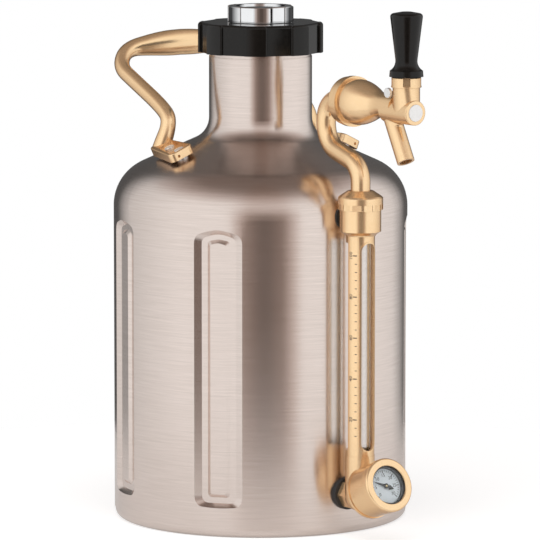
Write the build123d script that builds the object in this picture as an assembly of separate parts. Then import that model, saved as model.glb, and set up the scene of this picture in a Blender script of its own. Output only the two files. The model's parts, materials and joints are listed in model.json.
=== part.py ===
from build123d import *
from math import cos, hypot, radians, sin, sqrt, tan
import os

# Mini keg: a double-walled bottle with a regulator cap, an outside sight tube with a
# pressure gauge, a swan neck, a locking faucet and a carrying handle.
# Millimetres, +Z up. The tap points along -Y and the origin is the centre of the
# standing face. "Reach" is a distance from the bottle's axis towards the tap.

os.makedirs("parts", exist_ok=True)

# ---------------------------------------------------------------- fits
SLIP = 0.05  # radial play of pieces that are pushed together
RUN = 0.08  # radial play of pieces that turn or slide in each other
GAP = 0.3  # air between pieces that move apart

# ---------------------------------------------------------------- bottle
BODY_R = 88.0
BODY_WALL = 0.8
SHOULDER_CORNER_Z = 205.7  # where the straight wall would meet the shoulder's slope
SHOULDER_SLOPE = 24.3
SHOULDER_R = 28.0
NECK_R = 30.8
NECK_FILLET_R = 14.0
NECK_TOP_Z = 277.0

FOOT_H = 6.0
FOOT_STEP = 0.4  # how much smaller the foot is than the body
FOOT_CORNER_R = 4.6
FOOT_WALL = 1.0
FOOT_LIP = 5.0  # how far the foot reaches up inside the body
FOOT_RING_W = 10.0
FOOT_DISH = 2.4

LINER_WALL = 0.8
VACUUM_GAP = 5.4
NECK_GAP = 1.5
LINER_FLOOR_Z = 9.0
LINER_CORNER_R = 6.0

RECESS_COUNT = 7  # equal places round the body, one of which is the sight tube's
RECESS_DEPTH = 3.0
RECESS_W = 29.4
RECESS_LOW_Z = 17.7
RECESS_HIGH_Z = 182.4
RECESS_FLOOR_W = 21.0
RECESS_SIDE = 2.6  # how far the ends slope
RECESS_ARCH = 3.1
RECESS_ROUND = 4.0
RIB_W = 13.6
RIB_TOP_W = 9.6
RIB_RISE = 1.7
RIB_MARGIN = 3.4
RIB_ROUND = 2.6

RING_GROOVE = 0.7
RING_STEP = 0.3
RING_H = 2.0
THREAD_R = 29.4
THREAD_TOP_Z = 292.3

# ---------------------------------------------------------------- cap and regulator
CAP_R = 37.4
CAP_BOTTOM_Z = 279.3
CAP_TOP_Z = 297.2
CAP_LOBES = 8
CAP_LOBE_DEPTH = 2.5
CAP_LOBE_TURN = -84.2  # heading of one lobe, degrees from +X
CAP_LOBE_ROUND = 1.2
CAP_ROUND = 2.0
CAP_ROOF = 2.8
CAP_HUB_R = 11.5

KNOB_R = 19.9
KNOB_H = 9.4
KNOB_LOBES = 6
KNOB_LOBE_DEPTH = 1.3
KNOB_LOBE_TURN = -119.4
KNOB_HOLLOW = 25.0
KNOB_ROUND = 0.5
KNOB_WALL = 2.4
KNOB_DISC_R = 14.6
KNOB_DISC_H = 1.2
KNOB_DISH = 0.8
STEM_R = 3.9
STEM_LOW_Z = 286.6

SEAL_W = 1.6
CORE_FLANGE_R = 26.8
CORE_FLANGE_H = 3.4
CORE_R = 15.5
CORE_LOW_Z = 270.3
SPRING_BORE_R = 9.3
SPRING_FLOOR_Z = 279.0
PISTON_Z = 280.6
PISTON_H = 2.4
PISTON_PIN_R = 1.4
PISTON_PIN_L = 5.0
SPRING_R = 6.7
SPRING_WIRE_R = 0.9
SPRING_TURNS = 3.0
PLATE_Z = 292.6
PLATE_H = 2.4

SLEEVE_WALL = 1.6
SLEEVE_LOW_Z = 204.2
CARTRIDGE_R = 9.3
CARTRIDGE_L = 65.5
CARTRIDGE_NECK_R = 3.7
CARTRIDGE_NECK_L = 8.0
SPIGOT_L = 6.0
SPIGOT_PLAY = 0.4
PIN_R = 0.9
PIN_BITE = 1.2
PIERCED_R = 1.3
RELIEF_R = 2.6
RELIEF_REACH = 20.5

# ---------------------------------------------------------------- sight tube
TUBE_GAP = 14.0  # from the body's wall to the tube's axis
TUBE_REACH = BODY_R + TUBE_GAP
PORT_Z = 24.8
BUSH_R = 8.0
STEM_BORE_R = 2.6
PORT_STEM_R = 5.0
PORT_WASHER_R = 9.5
PORT_WASHER_H = 2.6
PORT_HEX_R = 8.3
RISER_R = 8.7
RISER_TOP_Z = 49.4
GLASS_R = 6.0
GLASS_WALL = 1.5
GLASS_LOW_Z = 43.4
GLASS_TOP_Z = 194.3
GASKET_H = 1.4
SHIELD_R = 8.5
SHIELD_WALL = 1.1
SHIELD_WRAP = 0.5  # how far behind the axis its sides reach
SPIGOT_L = 1.7
WINDOW_W = 9.2
WINDOW_LOW_Z = 52.8
WINDOW_HIGH_Z = 175.0
WINDOW_RIM = 0.9
WINDOW_RAISE = 0.45

HOUSING_R = 12.1
HOUSING_LOW_Z = 181.5
HOUSING_STEP_R = 9.5
HOUSING_STEP_H = 2.6
HOUSING_TOP_Z = 196.5
UNION_R = 13.2
UNION_LOW_Z = 194.1
UNION_HIGH_Z = 201.2
UNION_NECK_R = 7.5
UNION_NECK_Z = 205.3
NOTCH_TURN = 23.0  # degrees that each notch of a castellated nut takes
UNION_TAB_COUNT = 12
UNION_TAB_H = 3.6
UNION_TAB_DEPTH = 0.6
UNION_THREAD_R = 10.9
UNION_SEAL_H = 1.0
COLLAR_H = 2.2
STANDOFF_Z = 188.4
STANDOFF_R = 4.2
STANDOFF_WASHER_R = 7.6
STANDOFF_WASHER_H = 0.5
STUD_R = 1.8
STUD_BITE = 3.5

# ---------------------------------------------------------------- gauge
GAUGE_TILT = 20.5
CUP_R = 15.2
CUP_BACK = 10.0  # distances along the gauge's axis from the riser's axis
CUP_FLOOR = 13.0
CUP_FRONT = 25.6
CUP_NOSE_R = 14.2
CUP_NOSE_L = 2.6
CUP_BEAD = 0.5
CUP_BEAD_W = 1.6
CASE_R = 12.1
CASE_WALL = 0.8
CASE_STEM_R = 3.0
CASE_STEM_L = 5.0
DIAL_Z = 26.4
DIAL_H = 0.6
BEZEL_FACE = 31.5
BEZEL_R = 16.0
BEZEL_ROUND = 1.3
BEZEL_WINDOW_R = 11.4
BEZEL_LIP = 1.0
BEZEL_TAB_COUNT = 8
BEZEL_TAB_DEPTH = 0.5
BEZEL_TAB_L = 2.2
LENS_R = 12.7
LENS_H = 1.2
SPACER_BORE_R = 10.5
NEEDLE_L = 9.2
NEEDLE_TAIL = 4.6
NEEDLE_W = 0.9
NEEDLE_H = 0.4
NEEDLE_HEADING = 157.0
NEEDLE_HUB_R = 1.5
NEEDLE_HUB_H = 0.9
SPINDLE_R = 0.6

# ---------------------------------------------------------------- swan neck and faucet
NECK_TUBE_R = 5.75
NECK_TUBE_WALL = 1.2
NECK_LEAN = 34.5  # how far the swan neck leans back over the shoulder
NECK_INNER_REACH = TUBE_REACH - NECK_LEAN
NECK_LOW_BEND_Z = 219.5
NECK_MID_BEND_Z = 230.0
NECK_LOW_BEND_R = 13.0
NECK_MID_BEND_R = 16.0
NECK_TOP_BEND_R = 13.0
FAUCET_Z = 256.8
NUT_R = 14.2
NUT_BACK = 13.7  # how far behind the tube's axis the nut ends
NUT_REACH = TUBE_REACH - NUT_BACK
NUT_L = 4.4
NUT_WALL = 1.7
FLANGE_R = 14.8
FLANGE_L = 3.6
FLANGE_SPIGOT_R = 12.0
NECK_FLANGE_L = 1.6
BELL_R = 13.2
BELL_L = 6.4
WAIST_R = 7.0
BELL_RUN = 36.7  # from the nut to the waist
WAIST_REACH = NUT_REACH + BELL_RUN
BELL_WALL = 3.0

HEAD_RUN = 21.4  # from the waist to the lever
LEVER_REACH = WAIST_REACH + HEAD_RUN
VALVE_Z = 254.6
PIVOT_Z = 266.5
HEAD_TOP_Z = 268.8
HEAD_TOP_R = 7.9
BOSS_R = 7.2
BOSS_NOSE = 9.1
BOSS_FRONT = LEVER_REACH + BOSS_NOSE
SEAT_RUN = 3.0
SEAT_REACH = WAIST_REACH + SEAT_RUN
SEAT_R = 3.2
VALVE_BORE_R = 4.03
VALVE_SEAL_R = 4.4
VALVE_SEAL_H = 1.8
ROD_R = 2.2
PISTON_TAIL = 5.4
PISTON_NOSE = 6.4
PISTON_BACK = LEVER_REACH - PISTON_TAIL
PISTON_FRONT = LEVER_REACH + PISTON_NOSE
SLOT_L = 4.4
SLOT_W = 4.6
POCKET_L = 7.0
POCKET_RISE = 1.4
PLUG_R = 4.9
PLUG_L = 1.8
PLUG_PROUD = 0.35
SPOUT_R = 5.15
SPOUT_BORE_R = 3.7
SPOUT_BLEND = 1.5
SPOUT_TILT = 28.5
SPOUT_END_BACK = 0.1
SPOUT_END_REACH = LEVER_REACH - SPOUT_END_BACK
SPOUT_END_Z = 225.7

BALL_R = 5.0
LEVER_PIN_R = 1.3
LEVER_TIP_R = 1.9
LEVER_WAY_R = 3.43  # the hole below the ball
LEVER_STEM_R = 2.8
LEVER_TURN = 24.0  # how far the handle is pulled
COLLAR_R = 8.75
COLLAR_TOP_Z = 274.6
COLLAR_NOTCH_W = 4.2
COLLAR_NOTCH_DEPTH = 1.0
COLLAR_NOTCH_COUNT = 4
COLLAR_NOTCH_TURN = -125.0
HANDLE_BASE_R = 9.85
HANDLE_BASE_Z = 275.0
HANDLE_WAIST_R = 6.4
HANDLE_WAIST_Z = 284.8
HANDLE_TOP_R = 9.6
HANDLE_TOP_Z = 312.2
HANDLE_TOP_FLAT_R = 3.0
HANDLE_BORE_L = 14.0
HANDLE_BASE_H = 3.4
HANDLE_BASE_TAPER = 0.3
HANDLE_DOME = 1.2
HANDLE_RIM_ROUND = 2.0

LOCK_BACK = 6.8  # how far behind the lever the pin crosses
LOCK_REACH = LEVER_REACH - LOCK_BACK
LOCK_Z = 265.5
LOCK_R = 1.1
LOCK_HEAD_R = 2.9
LOCK_HEAD_L = 1.8
LOCK_SHOULDER = 5.9  # half the distance between the two heads' inner faces
LOCK_TRAVEL = 2.6

# ---------------------------------------------------------------- carrying handle
MOUNT_RADIUS = 58.5
MOUNT_SWING = 8.0  # the feet stand this many degrees behind the sides
MOUNT_FRONT = 16.8
MOUNT_BACK = 18.6
MOUNT_INNER = 8.2  # edges of the foot on either side of the screws
MOUNT_OUTER = 8.0
MOUNT_NARROW = 3.6
MOUNT_H = 5.2
MOUNT_LIFT = 1.2
MOUNT_ROUND = 3.6
MOUNT_EDGE = 0.8
TRAY_RIM = 1.5
TRAY_DEPTH = 1.8
TRAY_END = 10.0
MOUNT_BOSS_R = 3.6
MOUNT_BOSS_H = 3.4
MOUNT_HOLE_R = 0.9
SCREW_STEP = 13.0
SCREW_SHIFT = -5.0
SCREW_SIDE = -1.0
SCREW_R = 1.6
SCREW_BITE = 2.2
SCREW_HEAD_R = 3.0
SCREW_HEAD_H = 1.5
SCREW_SLOT = 0.9

LEG_LOW_R = 3.8
LEG_HIGH_R = 5.0
LEG_SPREAD = 1.35  # how much wider the leg is where it grows out of its foot
GRIP_THICK = 11.0
GRIP_TALL = 16.0
LEG_FOOT = (55.3, 24.3, 222.5)  # corners of the handle's centre line
LEG_KNEE = (50.6, 20.7, 239.6)
LEG_ELBOW = (52.0, 80.0, 267.0)
GRIP_CORNER = (36.0, 85.5, 277.6)
KNEE_R = 14.0
ELBOW_R = 20.0
GRIP_CORNER_R = 18.0

# ---------------------------------------------------------------- helpers
UPRIGHT = (Align.CENTER, Align.CENTER, Align.MIN)


def turned(*points, radii=None):
    """A closed outline of (radius, height) points turned about Z."""
    if radii:
        outline = FilletPolyline(*points, radius=radii, close=True)
    else:
        outline = Polyline(*points, close=True)
    return revolve(Plane.XZ * make_face(outline), Axis.Z)


def rod(radius, low, high):
    """A round bar about Z between two heights."""
    return Pos(0, 0, low) * Cylinder(radius, high - low, align=UPRIGHT)


def tube(outer, inner, low, high):
    """A round tube about Z between two heights."""
    return rod(outer, low, high) - rod(inner, low, high)


def towards_tap(height):
    """A frame at a height on the bottle's axis whose Z is the reach towards the tap."""
    return Plane(origin=(0, 0, height), x_dir=(1, 0, 0), z_dir=(0, -1, 0)).location


def one(shape):
    """The biggest solid of a shape that should be a single piece."""
    return max(shape.solids(), key=lambda solid: solid.volume)


TUBE_AXIS = Pos(0, -TUBE_REACH, 0)
LEVER_AXIS = Pos(0, -LEVER_REACH, 0)
GAUGE_AXIS = Plane(
    origin=(0, -TUBE_REACH, PORT_Z),
    x_dir=(1, 0, 0),
    z_dir=(0, -cos(radians(GAUGE_TILT)), sin(radians(GAUGE_TILT))),
).location

# ---------------------------------------------------------------- bottle shapes
SLOPE = radians(SHOULDER_SLOPE)


def shoulder_z(radius, inset=0.0):
    """Height of the straight part of the shoulder, or of the same slope set inwards."""
    return SHOULDER_CORNER_Z + (BODY_R - radius) * tan(SLOPE) - inset / cos(SLOPE)


def bottle(inset, neck_radius, floor_z, corner_radius, top_z):
    """A solid bottle whose wall lies a distance inside the body's outer face."""
    radius = BODY_R - inset
    points = [
        (0, floor_z),
        (radius, floor_z),
        (radius, shoulder_z(radius, inset)),
        (neck_radius, shoulder_z(neck_radius, inset)),
        (neck_radius, top_z),
        (0, top_z),
    ]
    radii = [0, corner_radius, SHOULDER_R - inset, NECK_FILLET_R + inset, 0, 0]
    return turned(*points, radii=radii)


def panel(width, low, high, arch, round_r, reach):
    """An upright outline facing +X at a reach, with an arched top and round corners."""
    facing = Plane(origin=(reach, 0, 0), x_dir=(0, 1, 0), z_dir=(1, 0, 0))
    half = width / 2
    corners = [(-half, low), (half, low), (half, high - arch), (0, high), (-half, high - arch)]
    radii = [round_r, round_r, round_r, 2 * width / 3, round_r]
    return facing * make_face(FilletPolyline(*corners, radius=radii, close=True))


def recess(inset):
    """One pressed recess facing +X, a distance inside the outer face, less its rib."""
    edge_x = sqrt(BODY_R**2 - (RECESS_W / 2) ** 2)
    floor_x = BODY_R - RECESS_DEPTH
    side_slope = (RECESS_W - RECESS_FLOOR_W) / 2 / (edge_x - floor_x)
    end_slope = RECESS_SIDE / RECESS_DEPTH
    deep = 1.6 * RECESS_DEPTH
    low = RECESS_LOW_Z + RECESS_SIDE
    high = RECESS_HIGH_Z - RECESS_SIDE
    floor_x = floor_x - inset
    floor = panel(RECESS_FLOOR_W, low, high, RECESS_ARCH, RECESS_ROUND, floor_x)
    spread = deep * side_slope
    rise = deep * end_slope
    wide = RECESS_FLOOR_W + 2 * spread
    round_r = RECESS_ROUND + rise
    mouth = panel(wide, low - rise, high + rise, RECESS_ARCH, round_r, floor_x + deep)
    hollow = loft([floor, mouth], ruled=True)
    side = (RIB_W - RIB_TOP_W) / 2
    foot = panel(RIB_W, low + RIB_MARGIN, high - RIB_MARGIN, RIB_ROUND / 2, RIB_ROUND, floor_x)
    low = low + RIB_MARGIN + side
    high = high - RIB_MARGIN - side
    crest = panel(RIB_TOP_W, low, high, RIB_ROUND / 2, RIB_ROUND - side / 2, floor_x + RIB_RISE)
    return hollow - loft([foot, crest], ruled=True)


def recesses(inset):
    """All pressed recesses; the sight tube takes one of the equal places."""
    step = 360 / RECESS_COUNT
    one_recess = recess(inset)
    return [Rot(0, 0, step * place - 90) * one_recess for place in range(1, RECESS_COUNT)]


LINER_INSET = BODY_WALL + VACUUM_GAP
LINER_NECK_R = NECK_R - BODY_WALL - NECK_GAP
MOUTH_R = LINER_NECK_R - LINER_WALL

BODY_SOLID = bottle(0, NECK_R, FOOT_H, 0, NECK_TOP_Z)
LINER_SOLID = bottle(LINER_INSET, LINER_NECK_R, LINER_FLOOR_Z, LINER_CORNER_R, NECK_TOP_Z)
PORT_HOLE = towards_tap(PORT_Z) * rod(BUSH_R + SLIP / 2, 0, BODY_R + 5)


def outer_shell():
    """The pressed outer body, with its recesses showing through the sheet."""
    hollow = bottle(BODY_WALL, NECK_R - BODY_WALL, FOOT_H, 0, NECK_TOP_Z)
    skin = BODY_SOLID - recesses(0)
    hollow = hollow - recesses(BODY_WALL)
    return one(skin - hollow - PORT_HOLE)


def liner():
    """The inner bottle that holds the drink."""
    inset = LINER_INSET + LINER_WALL
    floor_z = LINER_FLOOR_Z + LINER_WALL
    hollow = bottle(inset, MOUTH_R, floor_z, LINER_CORNER_R - LINER_WALL, NECK_TOP_Z)
    return one(LINER_SOLID - hollow - PORT_HOLE)


def base_cup():
    """The foot: a pressed cup with a standing ring and a dished middle."""
    outer = BODY_R - FOOT_STEP
    lip = BODY_R - BODY_WALL - SLIP
    ring_in = outer - FOOT_CORNER_R - FOOT_RING_W
    dish_in = ring_in - FOOT_DISH
    lip_z = FOOT_H + FOOT_LIP
    points = [
        (0, FOOT_DISH),
        (dish_in, FOOT_DISH),
        (ring_in, 0),
        (outer, 0),
        (outer, FOOT_H),
        (lip, FOOT_H),
        (lip, lip_z),
        (lip - FOOT_WALL, lip_z),
        (lip - FOOT_WALL, FOOT_WALL),
        (ring_in - FOOT_WALL / 2, FOOT_WALL),
        (dish_in - FOOT_WALL / 2, FOOT_DISH + FOOT_WALL),
        (0, FOOT_DISH + FOOT_WALL),
    ]
    radii = [0, 1, 1, FOOT_CORNER_R, 0, 0, 0, 0, FOOT_CORNER_R - FOOT_WALL, 1, 1, 0]
    return turned(*points, radii=radii)


def neck_ring():
    """The threaded mouth that joins the liner to the outer body."""
    groove_r = NECK_R - RING_GROOVE
    ring_r = NECK_R - RING_STEP
    return turned(
        (MOUTH_R, NECK_TOP_Z),
        (groove_r, NECK_TOP_Z),
        (groove_r, NECK_TOP_Z + RING_GROOVE),
        (ring_r, NECK_TOP_Z + RING_GROOVE),
        (ring_r, NECK_TOP_Z + RING_H),
        (THREAD_R, NECK_TOP_Z + RING_H),
        (THREAD_R, THREAD_TOP_Z),
        (MOUTH_R, THREAD_TOP_Z),
    )


def port_bush():
    """The welded socket that carries the drink through both walls."""
    inner_end = BODY_R - LINER_INSET - LINER_WALL - 2
    bush = towards_tap(PORT_Z) * tube(BUSH_R, PORT_STEM_R + SLIP, inner_end, BODY_R + 2)
    return one(bush & BODY_SOLID)


# ---------------------------------------------------------------- cap
def lobed(radius, lobes, hollow, depth, turn, round_r, height):
    """A grip with wide lobes; hollow is the angle of the flat between two lobes."""
    blank = Cylinder(radius, height, align=UPRIGHT)
    pitch = 360 / lobes
    width = 2 * radius * sin(radians(hollow / 2))
    cut = Box(2 * depth, width, height, align=(Align.MIN, Align.CENTER, Align.MIN))
    for lobe in range(lobes):
        blank = blank - Rot(0, 0, pitch * lobe) * Pos(radius - depth, 0, 0) * cut
    corners = blank.edges().filter_by(Axis.Z)
    corners = [edge for edge in corners if abs(hypot(edge.center().X, edge.center().Y) - radius) < 0.01]
    blank = fillet(corners, round_r)
    return Rot(0, 0, turn + pitch / 2) * blank


def cap_grip():
    """The black lid that is gripped and screwed onto the neck."""
    height = CAP_TOP_Z - CAP_BOTTOM_Z
    hollow = 180 / CAP_LOBES
    grip = lobed(CAP_R, CAP_LOBES, hollow, CAP_LOBE_DEPTH, CAP_LOBE_TURN, CAP_LOBE_ROUND, height)
    top_edges = grip.faces().sort_by(Axis.Z)[-1].edges()
    grip = fillet(top_edges, CAP_ROUND)
    grip = Pos(0, 0, CAP_BOTTOM_Z) * grip
    grip = grip - rod(THREAD_R + GAP, CAP_BOTTOM_Z - 1, CAP_TOP_Z - CAP_ROOF)
    return one(grip - rod(CAP_HUB_R + SLIP, CAP_BOTTOM_Z, CAP_TOP_Z + 1))


ROOF_Z = CAP_TOP_Z - CAP_ROOF
SLEEVE_BORE_R = CARTRIDGE_R + SPIGOT_PLAY + 0.2
SPIGOT_LOW_Z = CORE_LOW_Z - SPIGOT_L
CARTRIDGE_LOW_Z = SLEEVE_LOW_Z + SLEEVE_WALL + GAP / 2
CARTRIDGE_TOP_Z = CARTRIDGE_LOW_Z + CARTRIDGE_L
PIN_TIP_Z = CARTRIDGE_TOP_Z - PIN_BITE


def cap_core():
    """The regulator's housing under the lid, with the spigot for the sleeve."""
    spigot_r = SLEEVE_BORE_R - SPIGOT_PLAY
    flange_z = ROOF_Z - CORE_FLANGE_H
    core = turned(
        (0, SPIGOT_LOW_Z),
        (spigot_r, SPIGOT_LOW_Z),
        (spigot_r, CORE_LOW_Z),
        (CORE_R, CORE_LOW_Z),
        (CORE_R, flange_z),
        (CORE_FLANGE_R, flange_z),
        (CORE_FLANGE_R, ROOF_Z),
        (CAP_HUB_R, ROOF_Z),
        (CAP_HUB_R, CAP_TOP_Z),
        (0, CAP_TOP_Z),
    )
    core = core - rod(SPRING_BORE_R, SPRING_FLOOR_Z, CAP_TOP_Z + 1)
    core = core - rod(PISTON_PIN_R + RUN, SPIGOT_LOW_Z - 1, SPRING_FLOOR_Z + 1)
    core = core - rod(CARTRIDGE_NECK_R + GAP, SPIGOT_LOW_Z - 1, CARTRIDGE_TOP_Z + 1.6)
    relief = rod(RELIEF_R + SLIP, flange_z - 1, ROOF_Z + 1)
    return one(core - Pos(0, RELIEF_REACH, 0) * relief)


def relief_valve():
    """A small sprung button that lets out too high a pressure."""
    flange_z = ROOF_Z - CORE_FLANGE_H
    stem = rod(RELIEF_R, flange_z, ROOF_Z)
    head = rod(RELIEF_R + 1, flange_z - 1.2, flange_z)
    return Pos(0, RELIEF_REACH, 0) * (stem + head)


def cap_seal():
    """The flat ring between the neck's mouth and the lid."""
    inner = THREAD_R - SEAL_W
    return tube(THREAD_R, inner, THREAD_TOP_Z + GAP, ROOF_Z)


def regulator_knob():
    """The plated knob with its threaded stem."""
    low = CAP_TOP_Z + GAP
    high = low + KNOB_H
    turn = KNOB_LOBE_TURN
    knob = lobed(KNOB_R, KNOB_LOBES, KNOB_HOLLOW, KNOB_LOBE_DEPTH, turn, KNOB_ROUND, KNOB_H)
    knob = chamfer(knob.faces().sort_by(Axis.Z)[-1].edges(), KNOB_ROUND)
    knob = Pos(0, 0, low) * knob
    disc_seat = high - KNOB_DISH - KNOB_DISC_H
    knob = knob - rod(KNOB_DISC_R + SLIP, disc_seat, high + 1)
    hollow_r = KNOB_R - KNOB_LOBE_DEPTH - KNOB_WALL
    knob = knob - tube(hollow_r, STEM_R + KNOB_WALL, low - 1, disc_seat - KNOB_WALL)
    return one(knob + rod(STEM_R, STEM_LOW_Z, low + 1))


def knob_disc():
    """The plain insert in the knob's top."""
    high = CAP_TOP_Z + GAP + KNOB_H - KNOB_DISH
    disc = rod(KNOB_DISC_R, high - KNOB_DISC_H, high)
    return fillet(disc.faces().sort_by(Axis.Z)[-1].edges(), KNOB_DISC_H / 4)


def spring_plate():
    """The nut that the knob's stem drives down onto the spring."""
    return tube(SPRING_BORE_R - RUN, STEM_R + RUN, PLATE_Z, PLATE_Z + PLATE_H)


SPRING_LOW_Z = PISTON_Z + PISTON_H


def regulator_spring():
    """A wound spring between the piston and the plate."""
    low = SPRING_LOW_Z + SPRING_WIRE_R
    rise = PLATE_Z - SPRING_WIRE_R - low
    path = Pos(0, 0, low) * Helix(pitch=rise / SPRING_TURNS, height=rise, radius=SPRING_R)
    start = Plane(origin=path @ 0, z_dir=path % 0)
    coil = sweep(start * Circle(SPRING_WIRE_R), path=path, is_frenet=True)
    return one(coil)


def regulator_piston():
    """The piston whose pin opens the gas valve."""
    disc = rod(SPRING_BORE_R - RUN, PISTON_Z, SPRING_LOW_Z)
    return disc + rod(PISTON_PIN_R, PISTON_Z - PISTON_PIN_L, PISTON_Z)


def piercing_pin():
    """The hollow pin that opens the cartridge."""
    seat_z = CARTRIDGE_TOP_Z + 1.6
    tip = rod(PIN_R, PIN_TIP_Z, seat_z + 2)
    shank = rod(PISTON_PIN_R + RUN / 2, seat_z, PISTON_Z - PISTON_PIN_L - GAP)
    bore = rod(PIN_R / 2, PIN_TIP_Z - 1, PISTON_Z)
    return one(tip + shank - bore)


def sleeve_seal():
    """The ring that the cartridge is pressed against."""
    return tube(CARTRIDGE_NECK_R, PIERCED_R + GAP, CARTRIDGE_TOP_Z + GAP, CARTRIDGE_TOP_Z + 1.6)


def cartridge_sleeve():
    """The holder that screws onto the core and carries the cartridge."""
    outer_r = SLEEVE_BORE_R + SLEEVE_WALL
    high = CORE_LOW_Z - GAP
    shell = turned(
        (0, SLEEVE_LOW_Z),
        (outer_r, SLEEVE_LOW_Z),
        (outer_r, high),
        (0, high),
        radii=[0, outer_r * 0.45, 0, 0],
    )
    bore = turned(
        (0, SLEEVE_LOW_Z + SLEEVE_WALL),
        (SLEEVE_BORE_R, SLEEVE_LOW_Z + SLEEVE_WALL),
        (SLEEVE_BORE_R, high + 1),
        (0, high + 1),
        radii=[0, outer_r * 0.45 - SLEEVE_WALL, 0, 0],
    )
    return one(shell - bore)


def co2_cartridge():
    """A small steel gas cartridge, pierced at its neck."""
    body_r = CARTRIDGE_R
    neck_z = CARTRIDGE_TOP_Z - CARTRIDGE_NECK_L
    bottle_form = turned(
        (0, CARTRIDGE_LOW_Z),
        (body_r, CARTRIDGE_LOW_Z),
        (body_r, neck_z - body_r / 2),
        (CARTRIDGE_NECK_R, neck_z),
        (CARTRIDGE_NECK_R, CARTRIDGE_TOP_Z),
        (0, CARTRIDGE_TOP_Z),
        radii=[0, body_r * 0.55, body_r * 0.4, 1.5, 0.6, 0],
    )
    return one(bottle_form - rod(PIERCED_R, CARTRIDGE_TOP_Z - PIN_BITE - GAP, CARTRIDGE_TOP_Z))


# ---------------------------------------------------------------- sight tube
def port_washer():
    """The rubber washer between the body and the elbow."""
    ring = tube(PORT_WASHER_R, PORT_STEM_R + SLIP, BODY_R - 3, BODY_R + PORT_WASHER_H)
    return one(towards_tap(PORT_Z) * ring - BODY_SOLID)


def gauge_cup():
    """The elbow's cup for the gauge, along the gauge's own axis."""
    nose_z = CUP_FRONT + CUP_NOSE_L
    bead = tube(CUP_R + CUP_BEAD, CUP_R - 1, CUP_BACK, CUP_BACK + CUP_BEAD_W)
    root = Cone(RISER_R * 0.8, CUP_R - CUP_BEAD, CUP_BACK, align=UPRIGHT)
    return rod(CUP_R, CUP_BACK, CUP_FRONT) + rod(CUP_NOSE_R, CUP_FRONT, nose_z) + bead + root


def elbow():
    """The cast elbow: port stem, hexagon, riser socket and gauge cup in one."""
    port = towards_tap(PORT_Z)
    hexagon = extrude(RegularPolygon(PORT_HEX_R, 6), TUBE_REACH - BODY_R - PORT_WASHER_H)
    hexagon = Pos(0, 0, BODY_R + PORT_WASHER_H) * hexagon
    stem = rod(PORT_STEM_R, BODY_R - LINER_INSET - LINER_WALL - 2, TUBE_REACH)
    body = port * (hexagon + stem)
    body = body + TUBE_AXIS * rod(RISER_R, PORT_Z, RISER_TOP_Z)
    body = body + Pos(0, -TUBE_REACH, PORT_Z) * Sphere(RISER_R)
    spigot_r = SHIELD_R - SHIELD_WALL - SLIP
    body = body + TUBE_AXIS * rod(spigot_r, RISER_TOP_Z - 1, RISER_TOP_Z + SPIGOT_L)
    body = body + GAUGE_AXIS * gauge_cup()
    body = body - GAUGE_AXIS * rod(CASE_R + SLIP, CUP_FLOOR, CUP_FRONT + CUP_NOSE_L + 1)
    body = body - GAUGE_AXIS * rod(CASE_STEM_R + SLIP, CUP_FLOOR - CASE_STEM_L, CUP_FLOOR + 1)
    body = body - GAUGE_AXIS * rod(STEM_BORE_R / 2, 0, CUP_FLOOR)
    body = body - port * rod(STEM_BORE_R, 0, TUBE_REACH)
    body = body - TUBE_AXIS * rod(STEM_BORE_R, PORT_Z, RISER_TOP_Z)
    seat_z = GLASS_LOW_Z - GASKET_H
    return one(body - TUBE_AXIS * rod(GLASS_R + SLIP, seat_z, GLASS_TOP_Z))


def sight_glass():
    """The clear tube that shows the level."""
    return TUBE_AXIS * tube(GLASS_R, GLASS_R - GLASS_WALL, GLASS_LOW_Z, GLASS_TOP_Z)


def glass_seals():
    """A gasket under the glass and one over it."""
    bore = GLASS_R - GLASS_WALL
    low = tube(GLASS_R, bore, GLASS_LOW_Z - GASKET_H, GLASS_LOW_Z)
    high = tube(GLASS_R, bore, GLASS_TOP_Z, HOUSING_TOP_Z)
    return Compound(children=[one(TUBE_AXIS * low), one(TUBE_AXIS * high)])


SHIELD_TOP_Z = HOUSING_LOW_Z + 6


def sight_shield():
    """The brass tube round the glass: open behind, with a raised frame round its window."""
    bore = SHIELD_R - SHIELD_WALL
    shield = tube(SHIELD_R, bore, RISER_TOP_Z, SHIELD_TOP_Z)
    middle_z = (WINDOW_LOW_Z + WINDOW_HIGH_Z) / 2
    length = WINDOW_HIGH_Z - WINDOW_LOW_Z
    facing = Plane(origin=(0, 0, middle_z), x_dir=(0, 0, 1), z_dir=(0, -1, 0))
    frame = SlotOverall(length + 2 * WINDOW_RIM, WINDOW_W + 2 * WINDOW_RIM)
    raised = extrude(facing * frame, SHIELD_R * 2)
    raised = raised & tube(SHIELD_R + WINDOW_RAISE, SHIELD_R - SHIELD_WALL / 2, 0, SHIELD_TOP_Z)
    window = extrude(facing * SlotOverall(length, WINDOW_W), SHIELD_R * 2)
    open_back = Box(4 * SHIELD_R, 2 * SHIELD_R, length, align=(Align.CENTER, Align.MIN, Align.CENTER))
    window = window + Pos(0, SHIELD_WRAP, middle_z) * open_back
    return one(TUBE_AXIS * (shield + raised - window))


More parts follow.
